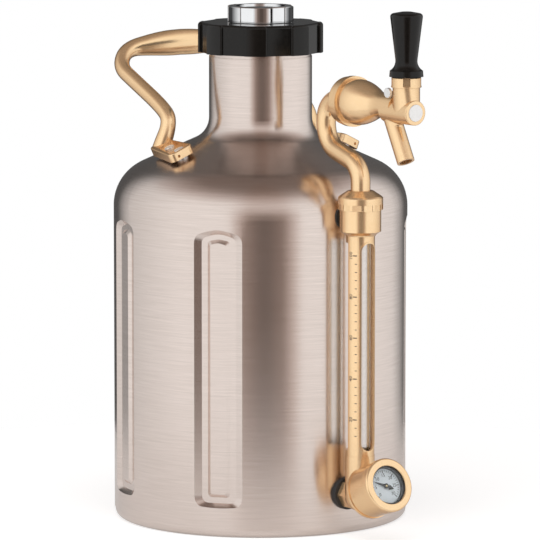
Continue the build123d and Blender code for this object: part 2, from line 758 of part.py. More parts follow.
def upper_housing():
    """The brass head that holds the top of the glass and stands off the body."""
    head = rod(HOUSING_R, HOUSING_LOW_Z, UNION_LOW_Z)
    head = head + rod(UNION_THREAD_R, UNION_LOW_Z, HOUSING_TOP_Z)
    step_z = HOUSING_LOW_Z - HOUSING_STEP_H
    step = turned(
        (0, step_z),
        (HOUSING_STEP_R - 0.6, step_z),
        (HOUSING_STEP_R, step_z + 0.8),
        (HOUSING_R, HOUSING_LOW_Z),
        (0, HOUSING_LOW_Z),
    )
    bore = rod(SHIELD_R + SLIP, step_z - 1, SHIELD_TOP_Z) + rod(GLASS_R + SLIP, 0, UNION_HIGH_Z)
    arm_from = BODY_R + STANDOFF_WASHER_H
    arm = towards_tap(STANDOFF_Z) * rod(STANDOFF_R, arm_from, TUBE_REACH - HOUSING_R + 2)
    stud_hole = rod(STUD_R + SLIP, 0, BODY_R + STANDOFF_WASHER_H + STUD_BITE - 1)
    head = TUBE_AXIS * (head + step - bore)
    return one(head + arm - towards_tap(STANDOFF_Z) * stud_hole)


def standoff_washer():
    """The rubber washer between the housing's arm and the body."""
    ring = tube(STANDOFF_WASHER_R, STUD_R + SLIP, BODY_R - 4, BODY_R + STANDOFF_WASHER_H)
    return one(towards_tap(STANDOFF_Z) * ring - BODY_SOLID)


def standoff_stud():
    """The stud welded to the body that the housing's arm is fixed to."""
    end = BODY_R + STANDOFF_WASHER_H + STUD_BITE - 1 - GAP
    return one(towards_tap(STANDOFF_Z) * rod(STUD_R, BODY_R - 4, end) - BODY_SOLID)


def castellated(radius, depth, tabs, low, high):
    """Notches round the lower edge of a nut, as a tool to cut them."""
    width = 2 * radius * sin(radians(NOTCH_TURN / 2))
    cuts = []
    for tab in range(tabs):
        turn = Rot(0, 0, 360 / tabs * (tab + 0.5))
        sector = Box(radius, width, high - low, align=(Align.MIN, Align.CENTER, Align.MIN))
        cuts.append(turn * Pos(radius - depth, 0, low) * sector)
    return cuts


def union_nut():
    """The castellated nut that clamps the swan neck on the glass."""
    nut = turned(
        (0, UNION_LOW_Z),
        (UNION_R, UNION_LOW_Z),
        (UNION_R, UNION_HIGH_Z),
        (UNION_R - 0.8, UNION_HIGH_Z + 0.9),
        (UNION_NECK_R, UNION_NECK_Z),
        (0, UNION_NECK_Z),
        radii=[0, 0.4, 0.4, 1.5, 0.4, 0],
    )
    tab_top = UNION_LOW_Z + UNION_TAB_H
    nut = nut - castellated(UNION_R, UNION_TAB_DEPTH, UNION_TAB_COUNT, UNION_LOW_Z - 1, tab_top)
    collar_top = HOUSING_TOP_Z + UNION_SEAL_H + COLLAR_H
    nut = nut - rod(UNION_THREAD_R + SLIP, UNION_LOW_Z - 1, collar_top)
    return one(TUBE_AXIS * (nut - rod(NECK_TUBE_R + 2 * SLIP, UNION_LOW_Z, UNION_NECK_Z + 1)))


def union_seal():
    """The flat gasket between the housing and the swan neck."""
    ring = tube(UNION_THREAD_R, GLASS_R - GLASS_WALL, HOUSING_TOP_Z, HOUSING_TOP_Z + UNION_SEAL_H)
    return one(TUBE_AXIS * ring)


# ---------------------------------------------------------------- gauge
def gauge_case():
    """The gauge's closed can with its threaded stem."""
    can = rod(CASE_R, CUP_FLOOR, DIAL_Z - DIAL_H)
    can = can - rod(CASE_R - CASE_WALL, CUP_FLOOR + CASE_WALL, DIAL_Z)
    stem = tube(CASE_STEM_R, STEM_BORE_R / 2, CUP_FLOOR - CASE_STEM_L + GAP, CUP_FLOOR + CASE_WALL)
    return one(GAUGE_AXIS * (can + stem))


def gauge_movement():
    """The curved pressure tube and the bridge that carries the needle's spindle."""
    floor = CUP_FLOOR + CASE_WALL
    path = CenterArc((0, 0), CASE_R - 4.5, -60, 290)
    bend = sweep(Plane(path @ 0, z_dir=path % 0) * Circle(1.6), path=path)
    post = rod(2.6, floor, floor + 6) - rod(SPINDLE_R + RUN, floor + 1, floor + 7)
    arm = Pos(CASE_R / 3, 0, floor) * Box(CASE_R * 0.9, 2.4, 2.2, align=UPRIGHT)
    hole = rod(SPINDLE_R + RUN, floor + 1, floor + 7)
    return one(GAUGE_AXIS * (Pos(0, 0, floor + 1.6) * bend + post + arm - hole))


def gauge_dial():
    """The white plate behind the needle."""
    return one(GAUGE_AXIS * tube(CASE_R, SPINDLE_R + GAP, DIAL_Z - DIAL_H, DIAL_Z))


LENS_BACK = BEZEL_FACE - BEZEL_LIP - LENS_H


def gauge_spacer():
    """The dark ring between the dial and the lens."""
    inside_cup = tube(CASE_R, SPACER_BORE_R, DIAL_Z, CUP_FRONT + CUP_NOSE_L)
    return one(GAUGE_AXIS * (inside_cup + tube(LENS_R, SPACER_BORE_R, CUP_FRONT + CUP_NOSE_L, LENS_BACK)))


def gauge_lens():
    """The clear window."""
    return one(GAUGE_AXIS * rod(LENS_R, LENS_BACK, LENS_BACK + LENS_H))


def gauge_needle():
    """The pointer with its round hub, arrow tail and spindle."""
    low = DIAL_Z + 0.6
    blade = Polyline(
        (NEEDLE_L, 0),
        (0, NEEDLE_W),
        (-NEEDLE_TAIL, NEEDLE_W / 3),
        (-NEEDLE_TAIL, -NEEDLE_W / 3),
        (0, -NEEDLE_W),
        close=True,
    )
    tail = Polyline(
        (-NEEDLE_TAIL - 1, 0), (-NEEDLE_TAIL / 2, 1.6), (-NEEDLE_TAIL / 2, -1.6), close=True
    )
    flat = extrude(make_face(blade), NEEDLE_H) + extrude(make_face(tail), NEEDLE_H)
    spindle = rod(SPINDLE_R, CUP_FLOOR + CASE_WALL + 1 + GAP, low + NEEDLE_H)
    hub = rod(NEEDLE_HUB_R, low, low + NEEDLE_HUB_H)
    needle = Rot(0, 0, NEEDLE_HEADING) * Pos(0, 0, low) * flat + hub + spindle
    return one(GAUGE_AXIS * needle)


def gauge_bezel():
    """The castellated ring that holds the lens on the cup."""
    back = CUP_FRONT
    ring = turned(
        (BEZEL_WINDOW_R, back),
        (BEZEL_R, back),
        (BEZEL_R, BEZEL_FACE),
        (BEZEL_WINDOW_R, BEZEL_FACE),
        radii=[0, 0.3, BEZEL_ROUND, BEZEL_LIP / 2],
    )
    notch_top = back + BEZEL_TAB_L
    ring = ring - castellated(BEZEL_R, BEZEL_TAB_DEPTH, BEZEL_TAB_COUNT, back - 1, notch_top)
    ring = ring - rod(CUP_NOSE_R + SLIP, back - 1, CUP_FRONT + CUP_NOSE_L)
    return one(GAUGE_AXIS * (ring - rod(LENS_R + SLIP, back, LENS_BACK + LENS_H)))


# ---------------------------------------------------------------- swan neck and faucet
FLANGE_REACH = NUT_REACH + NUT_L
BELL_REACH = FLANGE_REACH + FLANGE_L
NECK_END = NUT_REACH + NUT_WALL + NECK_FLANGE_L
COLLAR_LOW_Z = HOUSING_TOP_Z + UNION_SEAL_H


def swan_neck():
    """The bent tube from the union nut up, in and out again to the faucet."""
    corners = [
        (0, -TUBE_REACH, COLLAR_LOW_Z),
        (0, -TUBE_REACH, NECK_LOW_BEND_Z),
        (0, -NECK_INNER_REACH, NECK_MID_BEND_Z),
        (0, -NECK_INNER_REACH, FAUCET_Z),
        (0, -NECK_END, FAUCET_Z),
    ]
    bends = [NECK_LOW_BEND_R, NECK_MID_BEND_R, NECK_TOP_BEND_R]
    path = FilletPolyline(*corners, radius=bends)
    start = Plane(origin=corners[0], z_dir=(0, 0, 1))
    solid = sweep(start * Circle(NECK_TUBE_R), path=path)
    solid = solid + TUBE_AXIS * rod(UNION_THREAD_R - GAP, COLLAR_LOW_Z, COLLAR_LOW_Z + COLLAR_H)
    flange = rod(FLANGE_SPIGOT_R - GAP, NECK_END - NECK_FLANGE_L, NECK_END)
    solid = solid + towards_tap(FAUCET_Z) * flange
    bore = sweep(start * Circle(NECK_TUBE_R - NECK_TUBE_WALL), path=path)
    return one(solid - bore)


def coupling_nut():
    """The ring nut that holds the faucet on the swan neck."""
    end = NUT_REACH + NUT_L
    nut = turned(
        (NECK_TUBE_R + 2 * SLIP, NUT_REACH),
        (NUT_R, NUT_REACH),
        (NUT_R, end),
        (FLANGE_SPIGOT_R + SLIP, end),
        (FLANGE_SPIGOT_R + SLIP, NUT_REACH + NUT_WALL),
        (NECK_TUBE_R + 2 * SLIP, NUT_REACH + NUT_WALL),
        radii=[0, 1.2, 0, 0, 0, 0],
    )
    return one(towards_tap(FAUCET_Z) * nut)


def bell():
    """The faucet's bell, turned about its own axis, out to the waist."""
    bulge = (BELL_REACH + BELL_L, BELL_R)
    neck_in = (WAIST_REACH - 8, WAIST_R + 1.6)
    outline = [
        Polyline((0, NECK_END), (FLANGE_SPIGOT_R, NECK_END)),
        Polyline((FLANGE_SPIGOT_R, NECK_END), (FLANGE_SPIGOT_R, FLANGE_REACH)),
        Polyline((FLANGE_SPIGOT_R, FLANGE_REACH), (FLANGE_R, FLANGE_REACH)),
        Polyline((FLANGE_R, FLANGE_REACH), (FLANGE_R, BELL_REACH)),
        Polyline((FLANGE_R, BELL_REACH), (BELL_R - 0.3, BELL_REACH)),
        Spline(
            (BELL_R - 0.3, BELL_REACH),
            (bulge[1], bulge[0]),
            (neck_in[1], neck_in[0]),
            (WAIST_R, WAIST_REACH + 2),
            tangents=[(0.25, 1), (0, 1)],
        ),
        Polyline((WAIST_R, WAIST_REACH + 2), (WAIST_R, LEVER_REACH - 8)),
        Polyline((WAIST_R, LEVER_REACH - 8), (0, LEVER_REACH - 8)),
        Polyline((0, LEVER_REACH - 8), (0, NECK_END)),
    ]
    edges = [edge for line in outline for edge in line.edges()]
    return revolve(Plane.XZ * make_face(edges), Axis.Z)


def spout_frame():
    """A frame at the spout's mouth whose Z runs back up the spout."""
    lean = radians(SPOUT_TILT)
    up = (0, sin(lean), cos(lean))
    return Plane(origin=(0, -SPOUT_END_REACH, SPOUT_END_Z), x_dir=(1, 0, 0), z_dir=up).location


def faucet_body():
    """The cast faucet: bell, head, valve boss and spout."""
    head_base = Pos(0, 0, VALVE_Z) * Ellipse(BOSS_R, BOSS_FRONT - LEVER_REACH)
    head_top = Pos(0, 0, HEAD_TOP_Z) * Circle(HEAD_TOP_R)
    head = loft([head_base.face(), head_top.face()])
    boss = rod(BOSS_R, WAIST_REACH + 4, BOSS_FRONT)
    boss = fillet(boss.edges().sort_by(Axis.Z)[-1], 0.7)
    spout_l = (VALVE_Z - SPOUT_END_Z) / cos(radians(SPOUT_TILT))
    core = towards_tap(FAUCET_Z) * bell() + towards_tap(VALVE_Z) * boss + LEVER_AXIS * head
    spout = spout_frame() * rod(SPOUT_R, 0, spout_l)
    body = core + spout
    body = fillet(new_edges(core, spout, combined=body), SPOUT_BLEND)
    chamber = turned(
        (0, NECK_END - 1),
        (FLANGE_SPIGOT_R - BELL_WALL, NECK_END - 1),
        (BELL_R - BELL_WALL, BELL_REACH + BELL_L),
        (WAIST_R - BELL_WALL + 1.2, WAIST_REACH - 4),
        (0, WAIST_REACH - 4),
    )
    body = body - towards_tap(FAUCET_Z) * chamber
    valve = rod(VALVE_SEAL_R + 0.5, WAIST_REACH - 9, SEAT_REACH)
    valve = valve + rod(SEAT_R, SEAT_REACH - 1, SEAT_REACH + 4)
    valve = valve + rod(VALVE_BORE_R, SEAT_REACH + 3, BOSS_FRONT - PLUG_L)
    valve = valve + rod(PLUG_R + SLIP, BOSS_FRONT - PLUG_L, BOSS_FRONT + 1)
    body = body - towards_tap(VALVE_Z) * valve
    body = body - LEVER_AXIS * rod(BALL_R + RUN, PIVOT_Z - BALL_R * 0.8, HEAD_TOP_Z + 1)
    lean = radians(LEVER_TURN)
    swing = (PIVOT_Z - VALVE_Z - VALVE_BORE_R / 2) * tan(lean) + LEVER_PIN_R / cos(lean) + GAP
    lever_way = Box(
        2 * (LEVER_PIN_R + GAP),
        swing,
        PIVOT_Z - VALVE_Z,
        align=(Align.CENTER, Align.MIN, Align.MIN),
    )
    lever_way = Pos(0, 0, VALVE_Z) * lever_way + rod(LEVER_WAY_R, VALVE_Z, PIVOT_Z)
    body = body - LEVER_AXIS * lever_way
    pocket = LOCK_SHOULDER - LOCK_TRAVEL / 2 - GAP
    sides = rod(LOCK_HEAD_R + GAP, pocket, HEAD_TOP_R + 9) + rod(LOCK_HEAD_R + GAP, -HEAD_TOP_R - 9, -pocket)
    lock = rod(LOCK_R + RUN, -HEAD_TOP_R - 9, HEAD_TOP_R + 9)
    lock = Pos(0, -LOCK_REACH, LOCK_Z) * Rot(0, 90, 0) * (lock + sides)
    return one(body - lock - spout_frame() * rod(SPOUT_BORE_R, -1, spout_l))


def valve_shaft():
    """The sliding valve: a thin rod to the seat and a guided piston with the lever's slot."""
    rod_end = SEAT_REACH - GAP
    shaft = rod(ROD_R, rod_end - VALVE_SEAL_H, PISTON_BACK + 1)
    shaft = shaft + rod(VALVE_BORE_R - RUN, PISTON_BACK, PISTON_FRONT)
    slot = Box(SLOT_W, 2 * VALVE_BORE_R, SLOT_L, align=(Align.CENTER, Align.MIN, Align.CENTER))
    pocket = Box(SLOT_W, VALVE_BORE_R, POCKET_L, align=(Align.CENTER, Align.MIN, Align.CENTER))
    shaft = shaft - Pos(0, -LEVER_TIP_R - GAP, LEVER_REACH) * slot
    shaft = shaft - Pos(0, POCKET_RISE, LEVER_REACH) * pocket
    return one(towards_tap(VALVE_Z) * shaft)


def valve_seal():
    """The rubber disc that the pressure holds on its seat."""
    end = SEAT_REACH - GAP
    ring = tube(VALVE_SEAL_R, ROD_R + SLIP, end - VALVE_SEAL_H, end)
    return one(towards_tap(VALVE_Z) * ring)


def tap_lever():
    """The lever: a ball between the handle's stud and the pin that drives the valve."""
    stud_top = HANDLE_BASE_Z + HANDLE_BORE_L - GAP
    lever = Pos(0, 0, PIVOT_Z) * Sphere(BALL_R)
    lever = lever + rod(LEVER_STEM_R, PIVOT_Z, stud_top)
    lever = lever + rod(LEVER_PIN_R, VALVE_Z, PIVOT_Z)
    return one(LEVER_AXIS * (lever + Pos(0, 0, VALVE_Z) * Sphere(LEVER_TIP_R)))


CUP_OF_HANDLE_R = sqrt(COLLAR_R**2 + (COLLAR_TOP_Z - PIVOT_Z) ** 2) + GAP


def lever_collar():
    """The screwed collar that keeps the ball down, slotted for the lever's swing."""
    collar = turned(
        (0, HEAD_TOP_Z),
        (COLLAR_R, HEAD_TOP_Z),
        (COLLAR_R, COLLAR_TOP_Z),
        (0, COLLAR_TOP_Z),
        radii=[0, 0.3, 0.5, 0],
    )
    for notch in range(COLLAR_NOTCH_COUNT):
        turn = Rot(0, 0, COLLAR_NOTCH_TURN + 360 / COLLAR_NOTCH_COUNT * notch)
        cut = Box(COLLAR_R, COLLAR_NOTCH_W, COLLAR_R, align=(Align.MIN, Align.CENTER, Align.MIN))
        collar = collar - turn * Pos(COLLAR_R - COLLAR_NOTCH_DEPTH, 0, HEAD_TOP_Z + 0.8) * cut
    collar = collar - Pos(0, 0, PIVOT_Z) * Sphere(BALL_R + RUN)
    swing = (COLLAR_TOP_Z - PIVOT_Z) * tan(radians(LEVER_TURN))
    way_r = LEVER_STEM_R / cos(radians(LEVER_TURN)) + GAP
    way = rod(way_r, PIVOT_Z, COLLAR_TOP_Z + 1)
    way = way + Pos(0, -swing, 0) * rod(way_r, PIVOT_Z, COLLAR_TOP_Z + 1)
    between = Box(2 * way_r, swing, 2 * COLLAR_R, align=(Align.CENTER, Align.MAX, Align.MIN))
    return one(LEVER_AXIS * (collar - way - Pos(0, 0, PIVOT_Z) * between))


def tap_handle():
    """The black handle, hollowed under its base to swing clear of the collar."""
    rim_z = HANDLE_TOP_Z - HANDLE_DOME
    base_top = HANDLE_BASE_Z + HANDLE_BASE_H
    waist = Vector(HANDLE_WAIST_R, HANDLE_WAIST_Z)
    flank = Line((HANDLE_TOP_R, rim_z), waist)
    flare = TangentArc(waist, (HANDLE_BASE_R - HANDLE_BASE_TAPER, base_top), tangent=flank % 1)
    closing = Polyline(
        (HANDLE_TOP_R, rim_z),
        (HANDLE_TOP_FLAT_R, HANDLE_TOP_Z),
        (0, HANDLE_TOP_Z),
        (0, HANDLE_BASE_Z),
        (HANDLE_BASE_R, HANDLE_BASE_Z),
        (HANDLE_BASE_R - HANDLE_BASE_TAPER, base_top),
    )
    outline = make_face(flank.edges() + flare.edges() + closing.edges())
    form = revolve(Plane.XZ * outline, Axis.Z)
    rim = form.edges().filter_by(GeomType.CIRCLE).sort_by(Axis.Z)
    rim = [edge for edge in rim if abs(edge.radius - HANDLE_TOP_R) < 0.01]
    form = fillet(rim, HANDLE_RIM_ROUND)
    form = form - Pos(0, 0, PIVOT_Z) * Rot(0, 0, 90) * Sphere(CUP_OF_HANDLE_R)
    stud_hole = rod(LEVER_STEM_R + SLIP, HANDLE_BASE_Z, HANDLE_BASE_Z + HANDLE_BORE_L)
    return one(LEVER_AXIS * (form - stud_hole))


def front_plug():
    """The plug that closes the valve's bore."""
    plug = rod(PLUG_R, BOSS_FRONT - PLUG_L, BOSS_FRONT + PLUG_PROUD)
    plug = fillet(plug.edges().sort_by(Axis.Z)[-1], 0.3)
    return one(towards_tap(VALVE_Z) * plug)


def lock_pin():
    """The cross pin with a head at each end."""
    pin = rod(LOCK_R, -LOCK_SHOULDER - 1, LOCK_SHOULDER + 1)
    for side in (-1, 1):
        head = Pos(0, 0, side * (LOCK_SHOULDER + LOCK_HEAD_L / 2)) * Cylinder(LOCK_HEAD_R, LOCK_HEAD_L)
        pin = pin + fillet(head.edges().sort_by(Axis.Z)[-1 if side > 0 else 0], 0.5)
    middle = LOCK_TRAVEL / 2
    return one(Pos(-middle, -LOCK_REACH, LOCK_Z) * Rot(0, 90, 0) * pin)


# ---------------------------------------------------------------- carrying handle
def mount_frame():
    """A frame on the left shoulder: X runs back, Y out and Z square to the shoulder."""
    swing = radians(MOUNT_SWING)
    out = Vector(-cos(swing), sin(swing), 0)
    back = Vector(sin(swing), cos(swing), 0)
    normal = out * sin(SLOPE) + Vector(0, 0, cos(SLOPE))
    origin = out * MOUNT_RADIUS + Vector(0, 0, shoulder_z(MOUNT_RADIUS))
    return Plane(origin=origin, x_dir=back, z_dir=normal).location


SCREW_PLACES = [SCREW_SHIFT - SCREW_STEP / 2 + SCREW_STEP * place for place in range(2)]


def foot_outline(margin, back):
    """The foot's outline, narrower towards its back, a margin inside its edge."""
    corners = [
        (-MOUNT_FRONT + margin, -MOUNT_INNER + margin),
        (back, -MOUNT_INNER + margin),
        (back, MOUNT_OUTER - MOUNT_NARROW - margin),
        (-MOUNT_FRONT + margin, MOUNT_OUTER - margin),
    ]
    return make_face(FilletPolyline(*corners, radius=MOUNT_ROUND - margin, close=True))


def left_foot():
    """The left foot: a rounded lug with a tray for the screws."""
    lug = Pos(0, 0, MOUNT_LIFT) * extrude(foot_outline(0, MOUNT_BACK), MOUNT_H)
    lug = fillet(lug.faces().sort_by(Axis.Z)[-1].edges(), MOUNT_EDGE)
    floor_z = MOUNT_LIFT + MOUNT_H - TRAY_DEPTH
    tray = extrude(foot_outline(TRAY_RIM, MOUNT_BACK - TRAY_END), TRAY_DEPTH + 1)
    lug = lug - Pos(0, 0, floor_z) * tray
    for place in SCREW_PLACES:
        at = Pos(place, SCREW_SIDE, 0)
        lug = lug - at * rod(MOUNT_BOSS_R + SLIP, 0, MOUNT_BOSS_H)
        lug = lug - at * rod(SCREW_R + SLIP, 0, floor_z + 1)
    hole = Pos(-MOUNT_FRONT, MOUNT_OUTER / 3, MOUNT_LIFT + MOUNT_H / 2 - 0.4)
    return lug - hole * Rot(0, 90, 0) * rod(MOUNT_HOLE_R, -1, TRAY_RIM)


def left_leg():
    """The left leg, growing out of its foot and thickening up to the grip's corner."""
    corners = [Vector(-x, y, z) for x, y, z in (LEG_FOOT, LEG_KNEE, LEG_ELBOW, GRIP_CORNER)]
    corners.append(Vector(-GRIP_CORNER[0] + GRIP_CORNER_R, *GRIP_CORNER[1:]))
    path = FilletPolyline(*corners, radius=[KNEE_R, ELBOW_R, GRIP_CORNER_R])
    ends = [Plane(origin=path @ end, z_dir=path % end) for end in (0, 1)]
    rings = [ends[0] * Circle(LEG_LOW_R), ends[1] * Circle(LEG_HIGH_R)]
    leg = sweep(rings, path=path, multisection=True)
    rise = (corners[1] - corners[0]).normalized()
    wide = Plane(origin=corners[0] - rise, x_dir=(0, 1, 0), z_dir=rise)
    narrow = wide.offset(LEG_SPREAD * 3 * LEG_LOW_R)
    root_r = LEG_SPREAD * LEG_LOW_R
    root = loft([(wide * Circle(root_r)).face(), (narrow * Circle(LEG_LOW_R)).face()])
    return leg + root


def grip():
    """The grip across the back, a tall oval that tapers to the legs."""
    x, y, z = GRIP_CORNER
    half = x - GRIP_CORNER_R
    sections = []
    for number in range(-3, 4):
        swell = cos(radians(90 * number / 3)) ** 2
        thick = LEG_HIGH_R + (GRIP_THICK / 2 - LEG_HIGH_R) * swell
        tall = LEG_HIGH_R + (GRIP_TALL / 2 - LEG_HIGH_R) * swell
        at = Plane(origin=(half * number / 3, y, z + tall - LEG_HIGH_R), z_dir=(1, 0, 0), x_dir=(0, 0, 1))
        sections.append((at * Ellipse(tall, thick)).face())
    return loft(sections)


def carry_handle():
    """The cast handle with its two legs and feet."""
    under = Box(4 * MOUNT_BACK, 4 * MOUNT_BACK, 2 * MOUNT_BACK, align=(Align.CENTER, Align.CENTER, Align.MAX))
    leg = left_leg() - mount_frame() * Pos(0, 0, MOUNT_LIFT) * under
    left = leg + mount_frame() * left_foot()
    return one(grip() + left + mirror(left, Plane.YZ))


def screwed(make):
    """Copies of one small piece at all four screws of the feet."""
    copies = []
    for place in SCREW_PLACES:
        piece = one(mount_frame() * Pos(place, SCREW_SIDE, 0) * make - BODY_SOLID)
        copies += [piece, mirror(piece, Plane.YZ)]
    return Compound(children=copies)


def handle_bosses():
    """Four studs welded to the shoulder under the feet."""
    bore = rod(SCREW_R + SLIP, MOUNT_BOSS_H - SCREW_BITE - GAP, MOUNT_BOSS_H + 1)
    return screwed(rod(MOUNT_BOSS_R, -2, MOUNT_BOSS_H) - bore)


def handle_screws():
    """Four slotted screws in the feet's trays."""
    floor_z = MOUNT_LIFT + MOUNT_H - TRAY_DEPTH
    head = rod(SCREW_HEAD_R, floor_z, floor_z + SCREW_HEAD_H)
    head = fillet(head.edges().sort_by(Axis.Z)[-1], SCREW_HEAD_H / 3)
    slot = Box(SCREW_SLOT, 3 * SCREW_HEAD_R, SCREW_HEAD_H)
    head = head - Pos(0, 0, floor_z + SCREW_HEAD_H) * slot
    return screwed(head + rod(SCREW_R, MOUNT_BOSS_H - SCREW_BITE, floor_z))


PIECES = {
    "outer_shell": outer_shell,
    "liner": liner,
    "base_cup": base_cup,
    "neck_ring": neck_ring,
    "port_bush": port_bush,
    "cap_grip": cap_grip,
    "cap_core": cap_core,
    "cap_seal": cap_seal,
    "relief_valve": relief_valve,
    "regulator_knob": regulator_knob,
    "knob_disc": knob_disc,
    "spring_plate": spring_plate,
    "regulator_spring": regulator_spring,
    "regulator_piston": regulator_piston,
    "piercing_pin": piercing_pin,
    "sleeve_seal": sleeve_seal,
    "cartridge_sleeve": cartridge_sleeve,
    "co2_cartridge": co2_cartridge,
    "port_washer": port_washer,
    "elbow": elbow,
    "sight_glass": sight_glass,
    "glass_seals": glass_seals,
    "sight_shield": sight_shield,
    "upper_housing": upper_housing,
    "standoff_washer": standoff_washer,
    "standoff_stud": standoff_stud,
    "union_nut": union_nut,
    "union_seal": union_seal,
    "gauge_case": gauge_case,
    "gauge_movement": gauge_movement,
    "gauge_dial": gauge_dial,
    "gauge_spacer": gauge_spacer,
    "gauge_needle": gauge_needle,
    "gauge_lens": gauge_lens,
    "gauge_bezel": gauge_bezel,
    "swan_neck": swan_neck,
    "coupling_nut": coupling_nut,
    "faucet_body": faucet_body,
    "valve_shaft": valve_shaft,
    "valve_seal": valve_seal,
    "tap_lever": tap_lever,
    "lever_collar": lever_collar,
    "tap_handle": tap_handle,
    "front_plug": front_plug,
    "lock_pin": lock_pin,
    "carry_handle": carry_handle,
    "handle_bosses": handle_bosses,
    "handle_screws": handle_screws,
}

for node, make in PIECES.items():
    export_step(make(), f"parts/{node}.step")
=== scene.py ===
# %% [markdown]
# A steel mini keg with brass fittings, finished and lit. The metal parts arrive as exact solids. Here each of them
# gets its surface, the printed marks and the cast handle are added, and the whole stands in a plain studio.

# %% Load the keg
import bmesh
import bpy
import json
from math import cos, pi, radians, sin
from mathutils import Matrix, Vector


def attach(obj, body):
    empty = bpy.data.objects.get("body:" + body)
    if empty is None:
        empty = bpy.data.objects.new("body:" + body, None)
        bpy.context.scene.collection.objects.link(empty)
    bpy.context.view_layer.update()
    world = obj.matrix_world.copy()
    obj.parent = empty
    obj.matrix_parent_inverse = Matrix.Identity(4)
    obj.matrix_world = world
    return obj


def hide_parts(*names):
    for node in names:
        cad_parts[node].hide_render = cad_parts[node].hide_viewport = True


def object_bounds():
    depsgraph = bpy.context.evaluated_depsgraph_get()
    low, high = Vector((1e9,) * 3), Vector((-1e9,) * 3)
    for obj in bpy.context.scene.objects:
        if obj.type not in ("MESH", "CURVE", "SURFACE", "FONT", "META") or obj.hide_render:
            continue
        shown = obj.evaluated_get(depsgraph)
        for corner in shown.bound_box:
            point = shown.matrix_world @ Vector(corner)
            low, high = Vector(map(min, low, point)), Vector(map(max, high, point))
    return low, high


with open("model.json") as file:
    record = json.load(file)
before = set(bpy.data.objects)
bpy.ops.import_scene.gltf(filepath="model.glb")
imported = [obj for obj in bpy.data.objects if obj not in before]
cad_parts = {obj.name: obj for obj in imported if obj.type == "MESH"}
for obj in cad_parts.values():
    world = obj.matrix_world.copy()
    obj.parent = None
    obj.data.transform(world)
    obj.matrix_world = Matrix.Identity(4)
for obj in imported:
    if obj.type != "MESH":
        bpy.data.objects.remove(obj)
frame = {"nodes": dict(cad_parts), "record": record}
first_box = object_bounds()
print("box", [round(v, 4) for v in (*first_box[0], *first_box[1])])

# %% [markdown]
# A finish could be wired up node by node, but then its sums are hard to read. Here a Wire is one value that flows
# between nodes, so 1 - mask or grain * 0.5 can be written as such and adds its own Math nodes.

# %% Wires
class Wire:
    """A value in a node tree that takes part in ordinary sums."""

    def __init__(self, tree, socket):
        self.tree = tree
        self.socket = socket

    def apply(self, operation, *values):
        node = self.tree.nodes.new("ShaderNodeMath")
        node.operation = operation
        for slot, value in zip(node.inputs, values):
            if isinstance(value, Wire):
                self.tree.links.new(value.socket, slot)
            else:
                slot.default_value = value
        return Wire(self.tree, node.outputs[0])

    def __add__(self, other): return self.apply("ADD", self, other)
    def __radd__(self, other): return self.apply("ADD", other, self)
    def __sub__(self, other): return self.apply("SUBTRACT", self, other)
    def __rsub__(self, other): return self.apply("SUBTRACT", other, self)
    def __mul__(self, other): return self.apply("MULTIPLY", self, other)
    def __rmul__(self, other): return self.apply("MULTIPLY", other, self)
    def __truediv__(self, other): return self.apply("DIVIDE", self, other)
    def __abs__(self): return self.apply("ABSOLUTE", self)

    def clipped(self):
        return self.apply("MAXIMUM", self.apply("MINIMUM", self, 1.0), 0.0)

    def ramp(self, low, high):
        """0 below low, 1 above high and straight between."""
        return ((self - low) / (high - low)).clipped()


# %% [markdown]
# A Tree is a set of nodes, with one way to add a node: its kind, its settings, and what goes into its sockets.
# Noise is laid out in the part's own metres, so it stays where it is when the part moves.

# %% Trees of nodes
class Tree:
    """A node tree with one way to add a node."""

    def __init__(self, tree):
        self.tree = tree

    def node(self, kind, settings=None, **values):
        node = self.tree.nodes.new("ShaderNode" + kind)
        for name, value in (settings or {}).items():
            setattr(node, name, value)
        for name, value in values.items():
            self.feed(node.inputs[name.replace("_", " ")], value)
        return node

    def feed(self, slot, value):
        if isinstance(value, Wire):
            self.tree.links.new(value.socket, slot)
        else:
            slot.default_value = value

    def wire(self, node, output=0):
        return Wire(self.tree, node.outputs[output])

    def mixed(self, factor, first, second):
        """A colour between two others."""
        node = self.node("Mix", {"data_type": "RGBA"})
        for index, value in ((0, factor), (6, first), (7, second)):
            self.feed(node.inputs[index], value)
        return self.wire(node, 2)

    def noise(self, scale, detail=3.0, roughness=0.5):
        """A cloudy pattern; scale holds how many clouds fit in a metre along each axis."""
        coordinates = self.wire(self.node("TexCoord"), "Object")
        scaled = self.wire(self.node("Mapping", Vector=coordinates, Scale=scale))
        return self.wire(self.node("TexNoise", Vector=scaled, Scale=1.0, Detail=detail, Roughness=roughness), "Fac")


# %% [markdown]
# A Finish is a Tree that ends in one principled shader, which can be a metal, a plastic, a rubber or a glass. What
# is the same all over is set on the shader itself, and noise drives only what changes over the surface. Nearly
# every plain finish needs the same thing, a colour and a roughness that wander together, so that is a function.

# %% Finishes
FINISHES = {}


class Finish(Tree):
    """A material with a principled shader, its constants given by name."""

    def __init__(self, name, colour, roughness, metallic=0.0, **constants):
        self.material = bpy.data.materials.new(name)
        self.material.use_nodes = True
        super().__init__(self.material.node_tree)
        self.shader = self.tree.nodes["Principled BSDF"]
        self.set(Base_Color=(*colour, 1), Roughness=roughness, Metallic=metallic, **constants)
        FINISHES[name] = self

    def set(self, **values):
        for name, value in values.items():
            self.feed(self.shader.inputs[name.replace("_", " ")], value)

    def relief(self, height, depth):
        """Raises and sinks the surface by up to depth, in metres."""
        self.set(Normal=self.wire(self.node("Bump", Height=height, Distance=depth, Strength=1.0)))


def grey(level):
    return (level, level, level)


def even(count):
    """The same number of clouds to a metre along every axis."""
    return (count, count, count)


